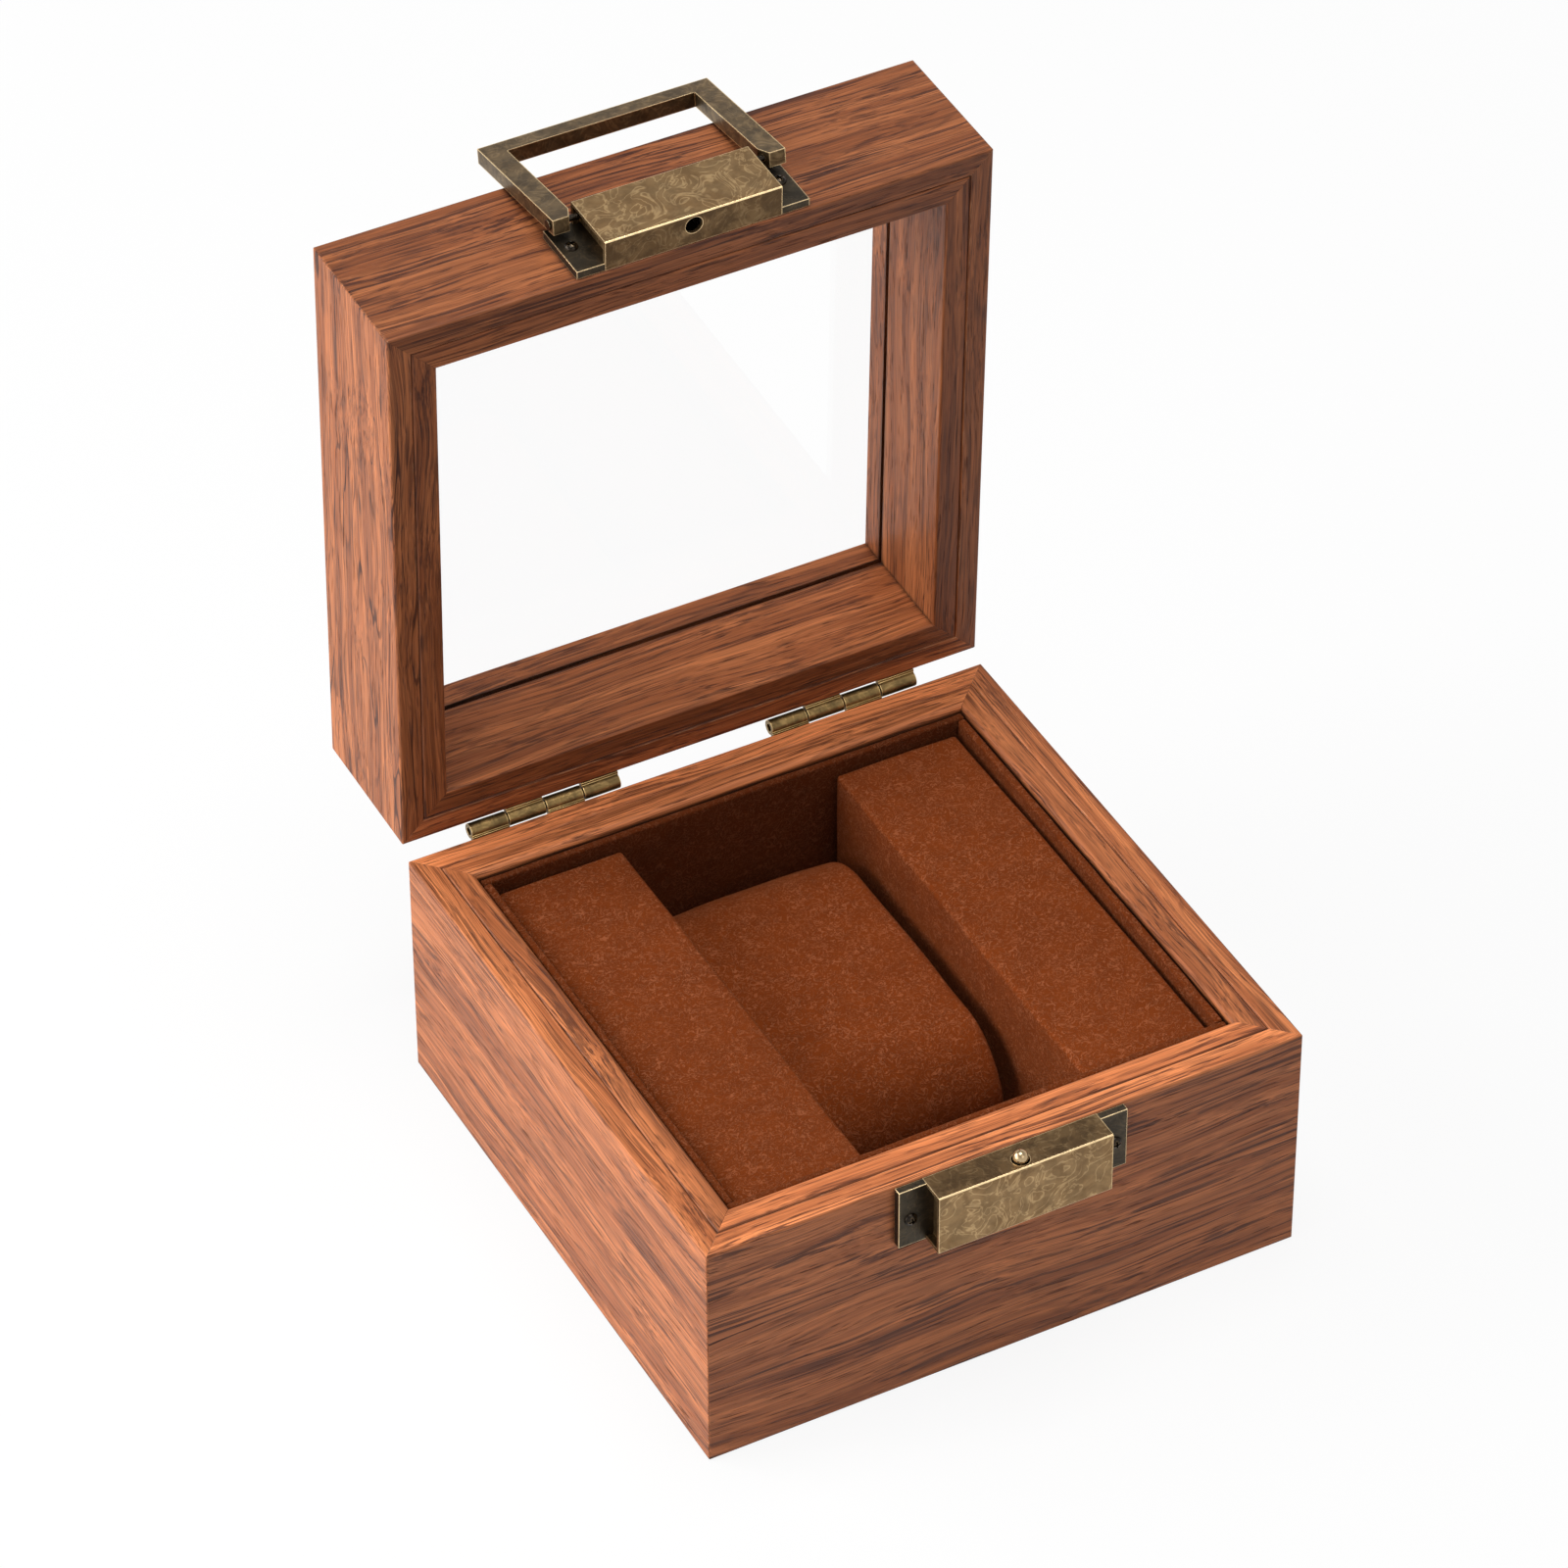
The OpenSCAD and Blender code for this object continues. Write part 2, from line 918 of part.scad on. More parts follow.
// Square-bar bail: arms with their inner end corners cut away, drilled for the pins
module handle_bail() {
    half = bail_w / 2;
    inner = half - arm_w;
    top = bail_l - pivot_end;
    color(brass)
        on_bail()
            difference() {
                rotate([90, 0, 0])
                    linear_extrude(bail_t, center = true)
                        polygon([
                            [-half, -pivot_end],
                            [-half, top],
                            [half, top],
                            [half, -pivot_end],
                            [inner + arm_cut_x, -pivot_end],
                            [inner, arm_cut_z - pivot_end],
                            [inner, top - crossbar_w],
                            [-inner, top - crossbar_w],
                            [-inner, arm_cut_z - pivot_end],
                            [-inner - arm_cut_x, -pivot_end]
                        ]);
                rotate([0, 90, 0])
                    cylinder(h = bail_w + reach, r = pivot_r + hole_gap, center = true);
            }
}

module handle_pins() {
    half = bail_w / 2;
    color(brass)
        on_bail()
            for (turn = [-90, 90])
                rotate([0, turn, 0]) {
                    translate([0, 0, pin_in])
                        cylinder(h = half - pin_in, r = pivot_r);
                    translate([0, 0, half])
                        cylinder(h = pivot_head_t, r = pivot_head_r);
                }
}

base_front_wall();
base_back_wall();
base_left_wall();
base_right_wall();
base_front_lining();
base_back_lining();
base_left_lining();
base_right_lining();
base_bottom_panel();
base_felt();
liner_front_board();
liner_back_board();
liner_left_board();
liner_right_board();
liner_floor();
left_pad();
right_pad();
watch_pillow();
base_catch_plate();
base_catch_case();
catch_stud();
base_catch_screws();
left_hinge_base_leaf();
right_hinge_base_leaf();
left_hinge_pin();
right_hinge_pin();
hinge_base_screws();
lid_front_wall();
lid_back_wall();
lid_left_wall();
lid_right_wall();
lid_front_lining();
lid_back_lining();
lid_left_lining();
lid_right_lining();
window_pane();
left_hinge_lid_leaf();
right_hinge_lid_leaf();
hinge_lid_screws();
lid_catch_plate();
lid_catch_case();
lid_catch_screws();
catch_clip();
handle_bail();
handle_pins();
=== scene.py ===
import json
import math
import random
import bmesh
import bpy
from mathutils import Matrix, Vector, noise

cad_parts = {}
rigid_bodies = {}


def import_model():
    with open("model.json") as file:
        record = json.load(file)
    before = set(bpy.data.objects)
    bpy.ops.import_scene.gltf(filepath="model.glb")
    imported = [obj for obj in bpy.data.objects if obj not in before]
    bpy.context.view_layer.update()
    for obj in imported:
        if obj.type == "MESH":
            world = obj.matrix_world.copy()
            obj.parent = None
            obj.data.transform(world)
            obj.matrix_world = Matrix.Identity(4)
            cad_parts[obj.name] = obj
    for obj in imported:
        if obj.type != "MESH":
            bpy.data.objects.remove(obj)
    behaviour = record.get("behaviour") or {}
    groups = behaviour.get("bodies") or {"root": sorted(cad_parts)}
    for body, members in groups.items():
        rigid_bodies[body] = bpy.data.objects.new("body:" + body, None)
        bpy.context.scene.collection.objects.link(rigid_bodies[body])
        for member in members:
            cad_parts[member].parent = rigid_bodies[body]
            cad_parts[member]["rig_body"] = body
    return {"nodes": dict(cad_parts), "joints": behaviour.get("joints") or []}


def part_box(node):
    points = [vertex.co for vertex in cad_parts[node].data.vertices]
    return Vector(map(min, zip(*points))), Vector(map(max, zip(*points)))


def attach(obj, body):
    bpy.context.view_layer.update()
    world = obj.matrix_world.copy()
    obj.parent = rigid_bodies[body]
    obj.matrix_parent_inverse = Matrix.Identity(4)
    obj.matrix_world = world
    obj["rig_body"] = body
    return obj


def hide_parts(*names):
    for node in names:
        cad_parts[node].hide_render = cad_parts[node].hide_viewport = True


# clear what a fresh file brings with it, then load the fixed frame
for leftover in list(bpy.data.objects):
    bpy.data.objects.remove(leftover)
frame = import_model()
bpy.context.view_layer.update()
bpy.context.scene.view_settings.view_transform = "Standard"

mm = 0.001
openAngle = math.radians(frame["joints"][0]["range_deg"][1])


def addObject(name, data):
    thing = bpy.data.objects.new(name, data)
    bpy.context.scene.collection.objects.link(thing)
    return thing


# Camera: the photograph's viewing angle

cameraPlace = {
    "place": (-0.4884, -0.9001, 0.9651),
    "turn": 0.48572301,      # radians from +Y towards +X
    "down": 0.707841362,
    "roll": -0.00497604,
    "lens": 174.63,
    "sensor": 36,
    "near": 0.01,
}


def makeCamera(look):
    turn, down, roll = look["turn"], look["down"], look["roll"]
    ahead = Vector((math.sin(turn) * math.cos(down), math.cos(turn) * math.cos(down), -math.sin(down)))
    right = Vector((math.cos(turn), -math.sin(turn), 0))
    up = right.cross(ahead)
    rightRolled = right * math.cos(roll) + up * math.sin(roll)
    upRolled = up * math.cos(roll) - right * math.sin(roll)
    data = bpy.data.cameras.new("viewCamera")
    data.lens = look["lens"]
    data.sensor_width = look["sensor"]
    data.clip_start = look["near"]
    camera = addObject("viewCamera", data)
    matrix = Matrix((rightRolled, upRolled, -ahead)).transposed().to_4x4()
    matrix.translation = Vector(look["place"])
    camera.matrix_world = matrix
    bpy.context.scene.camera = camera


makeCamera(cameraPlace)
print("camera placed")


# Node helpers

def put(tree, kind, inputs=None, **settings):
    node = tree.nodes.new(kind)
    for name, value in settings.items():
        setattr(node, name, value)
    for name, value in (inputs or {}).items():
        plug(tree, value, node.inputs[name])
    return node


def plug(tree, value, socket):
    if isinstance(value, bpy.types.NodeSocket):
        tree.links.new(value, socket)
    else:
        socket.default_value = value


def calc(tree, operation, a, b=0.0, clamp=False):
    return put(tree, "ShaderNodeMath", {0: a, 1: b}, operation=operation, use_clamp=clamp).outputs[0]


def times(tree, a, b, clamp=False):
    return calc(tree, "MULTIPLY", a, b, clamp)


def plus(tree, a, b, clamp=False):
    return calc(tree, "ADD", a, b, clamp)


def tint(tree, share, a, b):
    # colour a where the share is 0, colour b where it is 1
    return put(tree, "ShaderNodeMix", {0: share, 6: a, 7: b}, data_type="RGBA").outputs[2]


def spread(tree, value, low, high, toLow=0.0, toHigh=1.0, smooth=True):
    kind = "SMOOTHSTEP" if smooth else "LINEAR"
    inputs = {"Value": value, "From Min": low, "From Max": high, "To Min": toLow, "To Max": toHigh}
    return put(tree, "ShaderNodeMapRange", inputs, interpolation_type=kind).outputs[0]


def vectorCalc(tree, operation, a, b):
    return put(tree, "ShaderNodeVectorMath", {0: a, 1: b}, operation=operation).outputs[0]


def scaled(tree, vector, share):
    return put(tree, "ShaderNodeVectorMath", {0: vector, "Scale": share}, operation="SCALE").outputs[0]


def cloud(tree, vector, size, output="Fac", **look):
    # a noise whose features are size (x, y, z) long, or size each way, in the units of vector
    scale = tuple(1 / s for s in (size if isinstance(size, tuple) else (size,) * 3))
    inputs = {"Vector": vectorCalc(tree, "MULTIPLY", vector, scale), "Scale": 1.0, "Detail": 2.0,
              "Roughness": 0.5, "Distortion": 0.0}
    for name, value in look.items():
        inputs[name.capitalize()] = value
    return put(tree, "ShaderNodeTexNoise", inputs).outputs[output]


def setInputs(node, values):
    for label, value in values.items():
        node.inputs[label].default_value = value


def addSocket(tree, label, kind, way="INPUT"):
    return tree.interface.new_socket(label, in_out=way, socket_type="NodeSocket" + kind)


# what each finish gives its shader
surfaceOutputs = {"Colour": "Color", "Roughness": "Float", "Height": "Float"}


def newGroup(name, inputs):
    tree = bpy.data.node_groups.new(name, "ShaderNodeTree")
    kinds = {float: "Float", tuple: "Color", str: "Vector"}
    for label, value in inputs.items():
        socket = addSocket(tree, label, kinds[type(value)])
        if not isinstance(value, str):
            socket.default_value = value
    for label, kind in surfaceOutputs.items():
        addSocket(tree, label, kind, "OUTPUT")
    start = tree.nodes.new("NodeGroupInput")
    end = tree.nodes.new("NodeGroupOutput")
    return tree, start.outputs, end.inputs


def newMaterial(name):
    material = bpy.data.materials.new(name)
    material.use_nodes = True
    tree = material.node_tree
    tree.nodes.clear()
    end = tree.nodes.new("ShaderNodeOutputMaterial")
    shader = tree.nodes.new("ShaderNodeBsdfPrincipled")
    tree.links.new(shader.outputs[0], end.inputs["Surface"])
    return material, tree, shader


def placed(tree, turn=(0, 0, 0), shift=(0, 0, 0)):
    # object coordinates in millimetres, turned and shifted
    source = put(tree, "ShaderNodeTexCoord").outputs["Object"]
    inputs = {"Vector": source, "Location": shift, "Rotation": turn, "Scale": (1000, 1000, 1000)}
    return put(tree, "ShaderNodeMapping", inputs, vector_type="POINT").outputs[0]


def joinBump(tree, shader, depth, height):
    bump = put(tree, "ShaderNodeBump", {"Strength": 1.0, "Distance": depth, "Height": height})
    tree.links.new(bump.outputs[0], shader.inputs["Normal"])


def useGroup(tree, shader, group, vector, values, bumpDepth):
    node = put(tree, "ShaderNodeGroup", node_tree=group)
    tree.links.new(vector, node.inputs["Vector"])
    setInputs(node, values)
    tree.links.new(node.outputs["Colour"], shader.inputs["Base Color"])
    tree.links.new(node.outputs["Roughness"], shader.inputs["Roughness"])
    joinBump(tree, shader, bumpDepth, node.outputs["Height"])
    return node


def joinMark(tree, node, mark):
    # a mark that the mesh carries: worn on eased edges, flank on the narrow sides of the cases, rim on the
    # rims
    source = put(tree, "ShaderNodeAttribute", attribute_type="GEOMETRY", attribute_name=mark)
    tree.links.new(source.outputs["Fac"], node.inputs[mark.capitalize()])


# Wood: the grain runs along X of the vector, in millimetres

woodTones = {
    "light": (0.55, 0.182, 0.064, 1),
    "deep": (0.328, 0.097, 0.032, 1),
    "streak": (0.048, 0.012, 0.006, 1),
    "rubbed": (0.62, 0.36, 0.2, 1),
    "bump": 0.06 * mm,
    "specular": 0.24,
}

# the marks in the wood, in millimetres along the grain and across it
woodSizes = {
    "drift": (60, 16, 16),
    "driftReach": (0, 9, 9),         # how far the grain may wander, sideways only
    "bands": (190, 2.6, 2.6),
    "streaks": (56, 0.6, 0.6),
    "streakPatches": (60, 3, 3),
    "layers": (170, 1.4, 1.4),
    "figure": (95, 8, 8),
    "figureWidth": (14, 3, 3),
    "figurePatches": (38, 14, 14),
    "fibres": (24, 0.27, 0.27),
    "pores": (7, 0.3, 0.3),
    "rubbedPatches": (3.5, 1.5, 1.5),
    "boardShift": 400,               # each board is cut from its own place in the noise, this far off at most
}
layerLines = 7.0     # level lines drawn through the noise of the layers, and of the figure
figureLines = 9.0
paintedShadeReach = 1.6 * mm  # how far from a joint the painted shade reaches


def makeWoodGrain():
    inputs = {"Vector": "", "Light": (0.5, 0.2, 0.1, 1), "Deep": (0.3, 0.1, 0.05, 1),
              "Streak": (0.1, 0.03, 0.02, 1), "Wander": 1.0, "Streak Amount": 0.7, "Line Amount": 0.3,
              "Pore Amount": 0.5, "Figure Amount": 0.3, "Rim Painted Light": 1.0, "Worn": 0.0, "Rim": 0.0}
    tree, given, result = newGroup("woodGrain", inputs)
    flat = given["Vector"]
    sizes = woodSizes

    def stained(base, mask, amount):
        share = times(tree, mask, given[amount], True)
        return tint(tree, share, base, given["Streak"])

    def fromLine(field, count):
        # how far the field is from the nearest of its level lines, 0 to 0.5
        return calc(tree, "PINGPONG", times(tree, field, count), 0.5)

    # the grain wanders sideways a few millimetres over a hand's width
    centred = vectorCalc(tree, "SUBTRACT", cloud(tree, flat, sizes["drift"], "Color", detail=1.5), (0.5,) * 3)
    sideways = vectorCalc(tree, "MULTIPLY", centred, sizes["driftReach"])
    grain = vectorCalc(tree, "ADD", flat, scaled(tree, sideways, given["Wander"]))
    bands = spread(tree, cloud(tree, grain, sizes["bands"], detail=3, roughness=0.6), 0.36, 0.64)
    base = tint(tree, bands, given["Deep"], given["Light"])
    # long dark streaks that taper out
    streakNoise = cloud(tree, grain, sizes["streaks"], detail=3, roughness=0.58)
    streakWhere = spread(tree, cloud(tree, grain, sizes["streakPatches"]), 0.36, 0.58, 0.15, 1)
    streaks = times(tree, spread(tree, streakNoise, 0.5, 0.575), streakWhere)
    base = stained(base, streaks, "Streak Amount")
    # thin lines between the growth layers
    layers = fromLine(cloud(tree, grain, sizes["layers"], detail=2.5, roughness=0.6), layerLines)
    lineWhere = spread(tree, streakNoise, 0.36, 0.52, 0.3, 1)
    lines = times(tree, spread(tree, layers, 0.02, 0.17, 1, 0), lineWhere)
    base = stained(base, lines, "Line Amount")
    # the figure: nearly black level lines of a broad, slanting field
    steps = fromLine(cloud(tree, grain, sizes["figure"], roughness=0.45), figureLines)
    thick = spread(tree, cloud(tree, grain, sizes["figureWidth"], detail=1), 0.3, 0.7, 0.03, 0.14)
    figure = spread(tree, calc(tree, "DIVIDE", steps, thick), 0.4, 1.2, 1, 0)
    figureWhere = spread(tree, cloud(tree, flat, sizes["figurePatches"], detail=1), 0.42, 0.58, 0.1, 1)
    base = stained(base, times(tree, figure, figureWhere), "Figure Amount")
    # fine fibres, light and dark
    fibre = cloud(tree, grain, sizes["fibres"], roughness=0.7)
    base = scaled(tree, base, spread(tree, fibre, 0.32, 0.68, 0.7, 1.2, False))
    # open pores, short dark dashes
    poreNoise = cloud(tree, grain, sizes["pores"], detail=1.5)
    poreWhere = spread(tree, streakNoise, 0.4, 0.58, 0.25, 1)
    pores = times(tree, spread(tree, poreNoise, 0.58, 0.66), poreWhere)
    base = stained(base, pores, "Pore Amount")
    # painted shade gathers in joints, corners and the pane's slot, found by ambient occlusion; open edges are
    # rubbed paler here and there
    corner = put(tree, "ShaderNodeAmbientOcclusion", {"Distance": paintedShadeReach}, samples=6).outputs["AO"]
    rubbed = spread(tree, cloud(tree, flat, sizes["rubbedPatches"], roughness=0.7), 0.46, 0.66)
    openEdge = times(tree, rubbed, spread(tree, corner, 0.7, 0.95))
    edge = times(tree, times(tree, given["Worn"], openEdge), 0.6, True)
    base = tint(tree, edge, base, woodTones["rubbed"])
    # painted shade: the colour darkens to about a tenth where nearby surfaces close in
    base = scaled(tree, base, spread(tree, corner, 0.3, 0.8, 0.12, 1, False))
    # painted light and shade: each rim is scaled by a factor of its own, brighter on most of the base's
    # upward rims, darker on the lid's
    rimPaintedLight = times(tree, calc(tree, "SUBTRACT", given["Rim Painted Light"], 1.0), given["Rim"])
    base = scaled(tree, base, plus(tree, rimPaintedLight, 1.0))
    tree.links.new(base, result["Colour"])
    fibreDull = spread(tree, fibre, 0.3, 0.7, 0.4, 0.52, False)
    tree.links.new(plus(tree, fibreDull, times(tree, pores, 0.25)), result["Roughness"])
    sunk = plus(tree, times(tree, pores, -1.0), times(tree, fibre, 0.45))
    sunk = calc(tree, "SUBTRACT", sunk, times(tree, streaks, 0.2))
    tree.links.new(sunk, result["Height"])
    return tree


woodGrain = makeWoodGrain()

# each board: which way its grain runs, its tone, how far the grain wanders, how strongly it is marked with
# streaks, lines, pores and figure, and how much its rim differs from its tone, which is painted light and
# shade
boardMarks = ("along", "tone", "wander", "streaks", "lines", "pores", "figure", "rim")
boards = {
    "base_front_wall": ("x", 0.98, 0.7, 0.8, 0.3, 0.7, 0.2, 1.6),
    "base_back_wall": ("x", 1.5, 0.8, 0.6, 0.4, 0.7, 0.3, 1.15),
    "base_left_wall": ("y", 1.16, 0.8, 0.5, 0.65, 0.5, 0.3, 1.12),
    "base_right_wall": ("y", 1.2, 0.9, 0.6, 0.5, 0.5, 0.3, 1),
    "lid_front_wall": ("x", 0.68, 0.7, 0.85, 0.5, 0.8, 0.3, 0.9),
    "lid_back_wall": ("x", 0.86, 0.8, 0.7, 0.5, 0.7, 0.4, 1.15),
    "lid_left_wall": ("y", 1.0, 1.1, 0.5, 0.6, 0.5, 0.9, 0.72),
    "lid_right_wall": ("y", 0.78, 0.9, 0.6, 0.5, 0.5, 0.4, 0.82),
    "front_lining": ("x", 1.1, 0.6, 0.6, 0.4, 0.7, 0.3, 1.6),
    "back_lining": ("x", 1.4, 0.6, 0.6, 0.4, 0.7, 0.3, 0.96),
    "left_lining": ("y", 1.05, 0.8, 0.6, 0.4, 0.7, 0.4, 1.1),
    "right_lining": ("y", 1.05, 0.8, 0.5, 0.4, 0.7, 0.3, 1),
}
lidLinings = {"darker": 0.8, "rim": 0.7}    # the lid's linings are darker than the base's, and their rims carry painted shade


def shaded(colour, share):
    return tuple(c * share for c in colour[:3]) + (1,)


def woodMaterial(name, board, lidded, seed):
    material, tree, shader = newMaterial(name)
    dice = random.Random(seed)
    away = woodSizes["boardShift"]
    shift = tuple(dice.uniform(-away, away) for axis in range(3))
    turn = (openAngle if lidded else 0, 0, math.pi / 2 if board["along"] == "y" else 0)
    tone = board["tone"]
    values = {
        "Light": shaded(woodTones["light"], tone),
        "Deep": shaded(woodTones["deep"], tone),
        "Streak": woodTones["streak"],
        "Wander": board["wander"],
        "Streak Amount": board["streaks"],
        "Line Amount": board["lines"],
        "Pore Amount": board["pores"],
        "Figure Amount": board["figure"],
        "Rim Painted Light": board["rim"],
    }
    node = useGroup(tree, shader, woodGrain, placed(tree, turn, shift), values, woodTones["bump"])
    if "wall" in name:
        joinMark(tree, node, "worn")
    joinMark(tree, node, "rim")
    setInputs(shader, {"Specular IOR Level": woodTones["specular"]})
    return material


# Meshes taken from the frame

joinWithin = 0.001 * mm    # points nearer than this are one
flatWithin = 0.01          # radians, below which two faces are one flat face


def mergedMesh(node):
    # a copy of a node's mesh with its loose triangles joined and its flat faces whole
    mesh = bmesh.new()
    mesh.from_mesh(frame["nodes"][node].data)
    bmesh.ops.remove_doubles(mesh, verts=mesh.verts, dist=joinWithin)
    bmesh.ops.dissolve_limit(mesh, angle_limit=flatWithin, verts=mesh.verts, edges=mesh.edges)
    return mesh


def newPiece(name, mesh, material, smoothBelow):
    data = bpy.data.meshes.new(name)
    mesh.to_mesh(data)
    mesh.free()
    data.polygons.foreach_set("use_smooth", [True] * len(data.polygons))
    data.set_sharp_from_angle(angle=math.radians(smoothBelow))
    data.materials.append(material)
    return addObject(name, data)


def evenNormals(piece):
    # broad flat faces keep their own normal, so that light doesn't bend towards the eased edges
    even = piece.modifiers.new("evenNormals", "WEIGHTED_NORMAL")
    even.mode = "FACE_AREA"
    even.weight = 100
    even.keep_sharp = True
    depsgraph = bpy.context.evaluated_depsgraph_get()
    smoothed = bpy.data.meshes.new_from_object(piece.evaluated_get(depsgraph))
    piece.modifiers.clear()
    piece.data = smoothed


caseWrap = {
    "past": 0.05 * mm,       # how far the case is drawn past each edge of its plate
    "backDepth": 0.02 * mm,  # points this near the back are moved to the wood
}


def wrapPlate(mesh, plateNode, upward, outward):
    # draw a case out along upward until it just covers the edges of its plate, and back to the wood
    plateVerts = frame["nodes"][plateNode].data.vertices
    plate = [v.co.dot(upward) for v in plateVerts]
    case = [v.co.dot(upward) for v in mesh.verts]
    low, high = min(plate) - caseWrap["past"], max(plate) + caseWrap["past"]
    stretch = (high - low) / (max(case) - min(case))
    wood = min(v.co.dot(outward) for v in plateVerts)
    back = min(v.co.dot(outward) for v in mesh.verts)
    for vert in mesh.verts:
        level = vert.co.dot(upward)
        vert.co += upward * (low + (level - min(case)) * stretch - level)
        if vert.co.dot(outward) < back + caseWrap["backDepth"]:
            vert.co += outward * (wood - back)


easedEdges = {
    "sharpAbove": 40,    # degrees between two faces whose edge is eased
    "steps": 2,
    "smoothBelow": 50,
    "rim": 0.9,          # how squarely a face must point at the other half to be rim
    "side": 0.8,         # and how squarely up or down to be the side of a case
    "fold": (0.3, 0.95),
}


def easedCopy(node, name, material, easing, plateNode=None, upward=None, outward=None, meeting=None):
    # a copy whose sharp edges are eased; its faces carry the marks worn, rim and flank
    mesh = mergedMesh(node)
    if plateNode:
        wrapPlate(mesh, plateNode, upward, outward)
    mesh.normal_update()
    worn = mesh.loops.layers.float.new("worn")
    limit = math.radians(easedEdges["sharpAbove"])
    edges = [e for e in mesh.edges if len(e.link_faces) == 2 and e.calc_face_angle(0) > limit]
    cut = bmesh.ops.bevel(mesh, geom=edges, offset=easing, offset_type="OFFSET", segments=easedEdges["steps"],
                          profile=0.5, affect="EDGES", clamp_overlap=True,
                          miter_outer="SHARP", miter_inner="SHARP")
    for face in cut["faces"]:
        for loop in face.loops:
            loop[worn] = 1.0
    mesh.normal_update()
    if meeting:
        rim = mesh.loops.layers.float.new("rim")
        for face in mesh.faces:
            for loop in face.loops:
                loop[rim] = 1.0 if face.normal.dot(meeting) > easedEdges["rim"] else 0.0
    if upward:
        # the narrow sides of a case are drawn darker, its folds are rubbed bright
        flank = mesh.loops.layers.float.new("flank")
        foldLow, foldHigh = easedEdges["fold"]
        for face in mesh.faces:
            up, out = abs(face.normal.dot(upward)), abs(face.normal.dot(outward))
            for loop in face.loops:
                loop[flank] = 1.0 if up > easedEdges["side"] else 0.0
                if foldLow < up < foldHigh and out > foldLow:
                    loop[worn] = 1.0
    piece = newPiece(name, mesh, material, easedEdges["smoothBelow"])
    evenNormals(piece)
    return piece


def bodyOf(node):
    return frame["nodes"][node]["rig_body"]


def pieceName(node, ending):
    words = node.split("_")
    return words[0] + "".join(w.capitalize() for w in words[1:]) + ending


def stand(piece, node):
    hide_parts(node)
    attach(piece, bodyOf(node))


# Boards

boardEasing = {"wall": 0.1 * mm, "lining": 0.07 * mm}
boardSeeds = {"before": 11, "step": 7}


def makeBoards():
    seed = boardSeeds["before"]
    for part in ("base", "lid"):
        for side in ("front", "back", "left", "right"):
            for kind in ("wall", "lining"):
                seed += boardSeeds["step"]
                node = f"{part}_{side}_{kind}"
                board = dict(zip(boardMarks, boards[node if kind == "wall" else f"{side}_{kind}"]))
                if kind == "lining" and part == "lid":
                    board["tone"] *= lidLinings["darker"]
                    board["rim"] = lidLinings["rim"] / board["tone"]
                material = woodMaterial(f"{node}Wood", board, part == "lid", seed)
                # the way its rim faces, towards the plane where the lid meets the base
                meeting = Vector((0, 0, 1))
                if part == "lid":
                    meeting = Vector((0, -math.sin(openAngle), -math.cos(openAngle)))
                piece = easedCopy(node, f"{node}Board", material, boardEasing[kind], meeting=meeting)
                stand(piece, node)


makeBoards()
print("boards made")


# Suede: short curly nap over a soft mottling

suedeTones = {
    "light": (0.207, 0.0385, 0.004, 1),
    "deep": (0.127, 0.022, 0.0023, 1),
    "hair": (0.25, 0.104, 0.055, 1),
    "napAmount": 0.56,
    "nap": 0.8,
    "bump": 0.2 * mm,
    "specular": 0.12,
    "sheen": 0.07,
    "sheenRoughness": 0.45,
    "sheenTint": (1.0, 0.5, 0.2, 1),
}

# in millimetres, at a nap size of 1
suedeSizes = {"mottle": 6, "curls": 1.9, "barePatches": 5, "grit": 0.35}


def makeSuedeNap():
    inputs = {"Vector": "", "Light": (0.3, 0.09, 0.03, 1), "Deep": (0.2, 0.05, 0.015, 1),
              "Hair": (0.25, 0.1, 0.05, 1), "Nap Size": 0.7, "Nap Amount": 0.65}
    tree, given, result = newGroup("suedeNap", inputs)
    sized = vectorCalc(tree, "DIVIDE", given["Vector"], given["Nap Size"])
    mottling = cloud(tree, given["Vector"], suedeSizes["mottle"], detail=4, roughness=0.62)
    mottle = spread(tree, mottling, 0.34, 0.66)
    # thin curled fibres are the level lines of a twisted noise
    curl = cloud(tree, sized, suedeSizes["curls"], detail=1.5, roughness=0.55, distortion=1.8)
    ridge = spread(tree, calc(tree, "ABSOLUTE", calc(tree, "SUBTRACT", curl, 0.5)), 0.0, 0.06, 1, 0)
    bare = spread(tree, cloud(tree, sized, suedeSizes["barePatches"]), 0.35, 0.6, 0.65, 1)
    ridge = times(tree, ridge, bare)
    grit = cloud(tree, sized, suedeSizes["grit"], roughness=0.7)
    gritTone = spread(tree, grit, 0.25, 0.75, 0.1, 0.6, False)
    tone = plus(tree, times(tree, mottle, 0.3), gritTone)
    base = tint(tree, tone, given["Deep"], given["Light"])
    # the hairs are paler and greyer than the hide under them
    hairs = scaled(tree, given["Hair"], times(tree, ridge, given["Nap Amount"]))
    tree.links.new(vectorCalc(tree, "ADD", base, hairs), result["Colour"])
    tree.links.new(spread(tree, grit, 0.2, 0.8, 0.85, 0.98, False), result["Roughness"])
    tree.links.new(plus(tree, times(tree, ridge, 0.5), grit), result["Height"])
    return tree


suedeNap = makeSuedeNap()


def suedeMaterial(name, shift, brightness):
    material, tree, shader = newMaterial(name)
    values = {
        "Light": shaded(suedeTones["light"], brightness),
        "Deep": shaded(suedeTones["deep"], brightness),
        "Hair": shaded(suedeTones["hair"], brightness),
        "Nap Size": suedeTones["nap"],
        "Nap Amount": suedeTones["napAmount"],
    }
    useGroup(tree, shader, suedeNap, placed(tree, (0, 0, 0), shift), values, suedeTones["bump"])
    setInputs(shader, {
        "Specular IOR Level": suedeTones["specular"],
        "Sheen Weight": suedeTones["sheen"],
        "Sheen Roughness": suedeTones["sheenRoughness"],
        "Sheen Tint": suedeTones["sheenTint"],
    })
    return material


